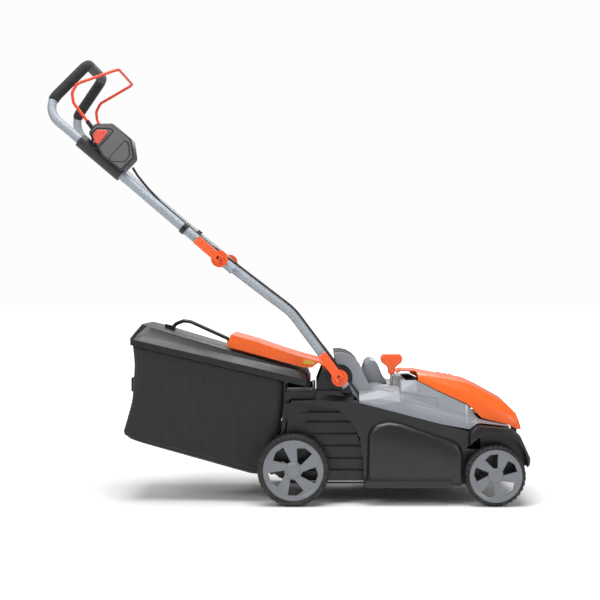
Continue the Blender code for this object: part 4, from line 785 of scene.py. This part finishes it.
BOX_FACE_Y = -0.1875
FACE = np.array([(-0.4540, 0.8585), (-0.4430, 0.8745), (-0.4060, 0.8750), (-0.3645, 0.8410),
                 (-0.3590, 0.8015), (-0.3705, 0.7900), (-0.3850, 0.7755), (-0.4250, 0.8080)])
BUTTON_FRAME = [(-0.4398, 0.8681), (-0.4112, 0.8681), (-0.4029, 0.8629), (-0.4041, 0.8599), (-0.4398, 0.8201),
                (-0.4460, 0.8242), (-0.4531, 0.8508), (-0.4522, 0.8569)]
BLANK_FRAME = [(-0.3764, 0.8405), (-0.3672, 0.8334), (-0.3651, 0.8057), (-0.3754, 0.7915), (-0.4050, 0.7925),
               (-0.4112, 0.7976), (-0.4112, 0.8018)]
face_panel = outward(joined("switch_face_panel", [
    (plate(FACE, BOX_FACE_Y + 0.0005, BOX_FACE_Y - 0.0006), True, False, False)]), 30)
eased(face_panel, 0.0004, 40)
finish(face_panel, FACE_GREY, "upper_frame")
switch_lines = [raised_line(BUTTON_FRAME, BOX_FACE_Y - 0.0004, 0.0014),
                raised_line(BLANK_FRAME, BOX_FACE_Y - 0.0004, 0.0012)]
finish(outward(joined("switch_lines", switch_lines)), BLACK, "upper_frame")

# ---- bail -----------------------------------------------------------------------------------------
# The dead man's bail: 7 mm steel wire with an orange powder coat, bent in one piece. A black sleeve
# covers its right leg where the switch box guides it.
BAIL_PAINT = metal("bail_paint", ink(222, 66, 26), 0.34, 0.0, spread=0.03, depth=0.000002)
bail_half = [(-0.446, 0.1425, 0.859), (-0.446, 0.152, 0.859), (-0.4700, 0.152, 0.8910),
             (-0.5010, 0.153, 0.9320), (-0.5040, 0.153, 0.9560), (-0.4930, 0.150, 0.9770),
             (-0.4030, 0.108, 1.0185)]
bail_corners = [(x, -y, z) for x, y, z in bail_half] + bail_half[::-1]
bail_radii = [0.006, 0.03, 0.022, 0.018, 0.02, 0.022]
bail_path = rounded_path(bail_corners, bail_radii + bail_radii[::-1], 6)
bail_wire = outward(grid_mesh("bail_finish", carried(bail_path, 0.0035, 20), True, False, True))
finish(bail_wire, BAIL_PAINT, "bail_wire", ["bail"])
rounded_copy("bail_sleeve", BLACK, 0.0004)

# ---- switch cable ---------------------------------------------------------------------------------
# Three short fixed lengths of black cable clipped along the tubes. The middle one lies in a ribbed
# conduit, which shows as a row of rings.
CABLE = plastic("cable_black", ink(26, 26, 27), 0.45, grain=0.00004)
EDGE_LINE = (PIVOT, down_leg, np.array([-down_leg[1], down_leg[0]]))
BEND_LINE = (CLAMP, -up_leg, np.array([up_leg[1], -up_leg[0]]))
LEG_LINE = (CLAMP, LEG, LEG_NORMAL)


def beside(line, t, n, y):
    """A point t along and n off a tube's line (start, direction, normal), on the right of the machine."""
    at, direction, normal = line
    spot = at + direction * t + normal * n
    return (spot[0], -y, spot[1])


upper_cable = [(-0.3640, -0.1480, 0.7820), (-0.3530, -0.1480, 0.7640), (-0.3290, -0.1480, 0.7345),
               beside(LEG_LINE, 0.190, 0.0110, 0.1480), beside(LEG_LINE, 0.036, 0.0101, 0.1479)]
bend_out = BEND + unit(BEND_LINE[2] + EDGE_LINE[2]) * 0.0134
lower_cable = [beside(LEG_LINE, 0.0350, 0.0102, 0.1478), beside(LEG_LINE, 0.020, 0.0125, 0.1450),
               beside(BEND_LINE, 0.018, 0.0136, 0.1405), (bend_out[0], -0.1405, bend_out[1]),
               beside(EDGE_LINE, 0.0265, 0.0132, 0.1405)]
deck_cable = [beside(EDGE_LINE, 0.0269, 0.0132, 0.1405), beside(EDGE_LINE, 0.0360, 0.0132, 0.1405),
              (0.1600, -0.1345, 0.2570), (0.1760, -0.1200, 0.2330), (0.1900, -0.1000, 0.2100)]
for cad, body, corners, bends, rings in (
        ("cable_upper", "upper_frame", upper_cable, [0.03] * 3, 0.0),
        ("cable_lower", "lower_handle", lower_cable, [0.02, 0.02, 0.14], 0.0035),
        ("cable_deck", "deck_body", deck_cable, [0.012] * 3, 0.0)):
    route = spaced(rounded_path(corners, bends), 0.0006 if rings else 0.003)
    run = np.concatenate([[0], np.cumsum(np.linalg.norm(np.diff(route, axis=0), axis=1))])
    reach = 0.00262 + 0.00034 * np.cos(run * 2 * pi / rings) if rings else 0.00275
    cable = outward(grid_mesh(f"{cad}_finish", carried(route, reach, 14), True, False, True), 60)
    finish(cable, CABLE, body, [cad])
for tag in SIDES.values():
    rounded_copy(f"cable_clip_{tag}", BLACK, 0.0005)

# ---- grass bag: cloth tub -------------------------------------------------------------------------
# A tub of black woven polyester with a fine vertical stripe, sewn from a base panel with a wall on each
# of its four sides, and stretched over the front frame and under the lid's rim. Its long sides draw in
# a little between them.
RINGS_BETWEEN = 6


def ring_rows(rings, per_side=14):
    """A rounded rectangle for each ring of (front, rear, half width, corner): straight runs between
    four arcs, at the height that its place between front and rear gives. All rings have equal counts."""
    rows = []
    for front, rear, half, corner in rings:
        spots = []
        for cx, cy, start in ((1, 1, 0), (0, 1, 90), (0, -1, 180), (1, -1, 270)):
            turn = np.radians(start + np.linspace(0, 90, 9))
            x = (front[0] - corner if cx else rear[0] + corner) + corner * np.cos(turn)
            spots.append(np.column_stack([x, cy * (half - corner) + corner * np.sin(turn)]))
        plan = []
        for k in range(4):
            plan.append(spots[k])
            a, b = spots[k][-1], spots[(k + 1) % 4][0]
            share = np.linspace(0, 1, per_side + 2)[1:-1, None]
            plan.append(a + (b - a) * share)
        plan = np.vstack(plan)
        share = (plan[:, 0] - rear[0]) / (front[0] - rear[0])
        rows.append(np.column_stack([plan, rear[1] + share * (front[1] - rear[1])]))
    return np.array(rows)


def blended(rings, between=RINGS_BETWEEN):
    """More rings between the given ones, on a smooth monotone curve through each point's path."""
    fine = np.linspace(0, len(rings) - 1, (len(rings) - 1) * between + 1)
    slope = np.gradient(rings, axis=0)
    low = np.clip(np.floor(fine).astype(int), 0, len(rings) - 2)
    t = (fine - low)[:, None, None]
    a, b, sa, sb = rings[low], rings[low + 1], slope[low], slope[low + 1]
    sa, sb = 0.55 * sa, 0.55 * sb
    return ((2 * t ** 3 - 3 * t ** 2 + 1) * a + (t ** 3 - 2 * t ** 2 + t) * sa
            + (3 * t ** 2 - 2 * t ** 3) * b + (t ** 3 - t ** 2) * sb)


TUB_RINGS = [((-0.014, 0.2860), (-0.3680, 0.3690), 0.1385, 0.018),
             ((-0.014, 0.2400), (-0.3640, 0.3200), 0.1385, 0.020),
             ((-0.024, 0.1690), (-0.3700, 0.2400), 0.1380, 0.022),
             ((-0.048, 0.1120), (-0.3860, 0.1800), 0.1370, 0.022),
             ((-0.052, 0.0760), (-0.3900, 0.1640), 0.1360, 0.022),
             ((-0.056, 0.0640), (-0.3780, 0.1500), 0.1310, 0.022),
             ((-0.080, 0.0625), (-0.3500, 0.1380), 0.1130, 0.022)]


def threads(tree, spot, way, scale, **ins):
    """A wave of lines across one direction of the weave."""
    return node(tree, "ShaderNodeTexWave", {"Scale": scale, **ins}, {"Vector": spot},
                bands_direction=way).outputs["Fac"]


def cloth_weave():
    """Material for the tub: a plain weave with a paler stripe every few threads, read from its UV map in
    metres, with a soft sheen."""
    paint, tree, shader = new_paint("bag_cloth", {
        "Roughness": 0.72, "Sheen Weight": 0.12, "Sheen Roughness": 0.4})
    spot = node(tree, "ShaderNodeUVMap", uv_map="weave").outputs["UV"]
    warp = threads(tree, spot, "X", 130.0, Distortion=0.3)
    weft = threads(tree, spot, "Y", 160.0, Distortion=0.3)
    pale = remap(tree, threads(tree, spot, "X", 70.0, Distortion=0.4, Detail=1.0), 0.72, 1.0)
    tint = node(tree, "ShaderNodeMix", {"A": ink(12, 12, 13), "B": ink(44, 44, 46)}, {"Factor": pale},
                data_type="RGBA")
    lift = maths(tree, "ADD", maths(tree, "MULTIPLY", warp, weft), pale)
    bump = node(tree, "ShaderNodeBump", {"Strength": 0.7, "Distance": 0.0004}, {"Height": lift})
    tree.links.new(tint.outputs["Result"], shader.inputs["Base Color"])
    tree.links.new(bump.outputs["Normal"], shader.inputs["Normal"])
    return paint


def cloth_tub():
    """The tub's sheet: rings down the wall, then rings gathered to the base's middle. The long sides are
    drawn in by a half sine between top and bottom and between front and rear."""
    wall = blended(ring_rows(TUB_RINGS))
    centre = np.array([-0.21, 0.0, 0.0990])
    base = np.array([wall[-1] + (centre - wall[-1]) * s for s in (0.2, 0.4, 0.6, 0.8, 0.97)])
    rows = np.concatenate([wall, base])
    count = len(wall)
    down = np.zeros(len(rows))
    down[:count] = np.sin(pi * np.linspace(0, 1, count) ** 0.8)
    long_side = np.clip((np.abs(rows[..., 1]) - 0.100) / 0.03, 0, 1)
    along = np.clip((rows[..., 0] + 0.36) / 0.33, 0, 1)
    draw = 0.0035 * down[:, None] * long_side * np.sin(pi * along)
    ripple = 0.0007 * down[:, None] * long_side * np.sin(rows[..., 0] * 95) * np.sin(rows[..., 2] * 40)
    rows[..., 1] -= np.sign(rows[..., 1]) * (draw + ripple)
    return rows


MOUTH_X, MOUTH_HALF_Y, MOUTH_Z = -0.075, 0.098, (0.125, 0.243)
CLOTH_THICK = 0.0014

tub_rows = cloth_tub()
tub = grid_mesh("bag_cloth_tub", tub_rows, True)
work = bmesh.new()
work.from_mesh(tub.data)
bmesh.ops.recalc_face_normals(work, faces=work.faces)
middles = [(f, f.calc_center_median()) for f in work.faces]
mouth = [f for f, at in middles
         if at.x > MOUTH_X and abs(at.y) < MOUTH_HALF_Y and MOUTH_Z[0] < at.z < MOUTH_Z[1]]
bmesh.ops.delete(work, geom=mouth, context="FACES")
weave_map = work.loops.layers.uv.new("weave")
for face in work.faces:
    normal = face.normal
    for corner in face.loops:
        at = corner.vert.co
        lengthwise = at.x if abs(normal.y) > 0.6 else at.y
        corner[weave_map].uv = (lengthwise, at.z if abs(normal.z) < 0.7 else at.x)
work.to_mesh(tub.data)
work.free()
tub.data.shade_smooth()
wall = tub.modifiers.new("wall", "SOLIDIFY")
wall.thickness = CLOTH_THICK
wall.offset = -1
finish(tub, cloth_weave(), "grass_bag", ["bag_tub"])

PIPING = plastic("bag_piping", ink(30, 30, 32), 0.6, grain=0.0001)
SEAM_RING = 4 * RINGS_BETWEEN + 2  # two rings below the fifth outline
PIPING_RADIUS = 0.0016
seam = spaced(np.vstack([tub_rows[SEAM_RING], tub_rows[SEAM_RING][:1]]), 0.004)
piping = outward(joined("bag_piping", [(carried(seam[:-1], PIPING_RADIUS, 10), True, True, False)]))
finish(piping, PIPING, "grass_bag")

# ---- grass bag: lid, frame, handle and strap ------------------------------------------------------
# The lid is one semi-gloss black moulding with a two-step rim and a raised panel. Long clips along its
# rim grip the cloth's edge. The frame, the carry handle and the webbing strap are fixed to the bag.
LID_BLACK = plastic("bag_lid_black", ink(18, 18, 19), 0.30, grain=0.00001, clouding=0.03, coat=0.1)
rounded_copy("bag_lid", LID_BLACK, 0.0014, smooth=20, steps=3)
rounded_copy("bag_frame", BLACK, 0.0008)
rounded_copy("bag_handle", BLACK, 0.0006)
STRAP = plastic("strap_webbing", ink(30, 30, 32), 0.85, grain=0.0004)
rounded_copy("bag_strap", STRAP, 0.0006)


LID_REAR, LID_FRONT = (-0.3740, 0.3690), (0.0500, 0.2700)
CLIP_MIDDLES = (-0.33, -0.255, -0.18, -0.105, -0.03)
CLIP_X = np.array([-0.024, -0.0235, 0.0235, 0.024])
CLIP_Y, CLIP_LIFT = 0.1433, 0.0045
CLIP_SECTION = np.array([(-0.0004, -0.0016), (0.0011, -0.0016), (0.0011, 0.0016), (-0.0004, 0.0016)])


def lid_clip(x, side):
    """Grid of one long clip on the lid's rim: a flat bar along the rim's slope at its lower step."""
    slope = (LID_FRONT[1] - LID_REAR[1]) / (LID_FRONT[0] - LID_REAR[0])
    height = LID_REAR[1] + slope * (x + CLIP_X - LID_REAR[0]) + CLIP_LIFT
    return bar(x + CLIP_X, side * CLIP_Y, height, CLIP_SECTION * (side, 1))


for side, tag in SIDES.items():
    clips = [(lid_clip(x, side), True, False, False) for x in CLIP_MIDDLES]
    finish(outward(joined(f"lid_clips_{tag}", clips), 30), LID_BLACK, "grass_bag")
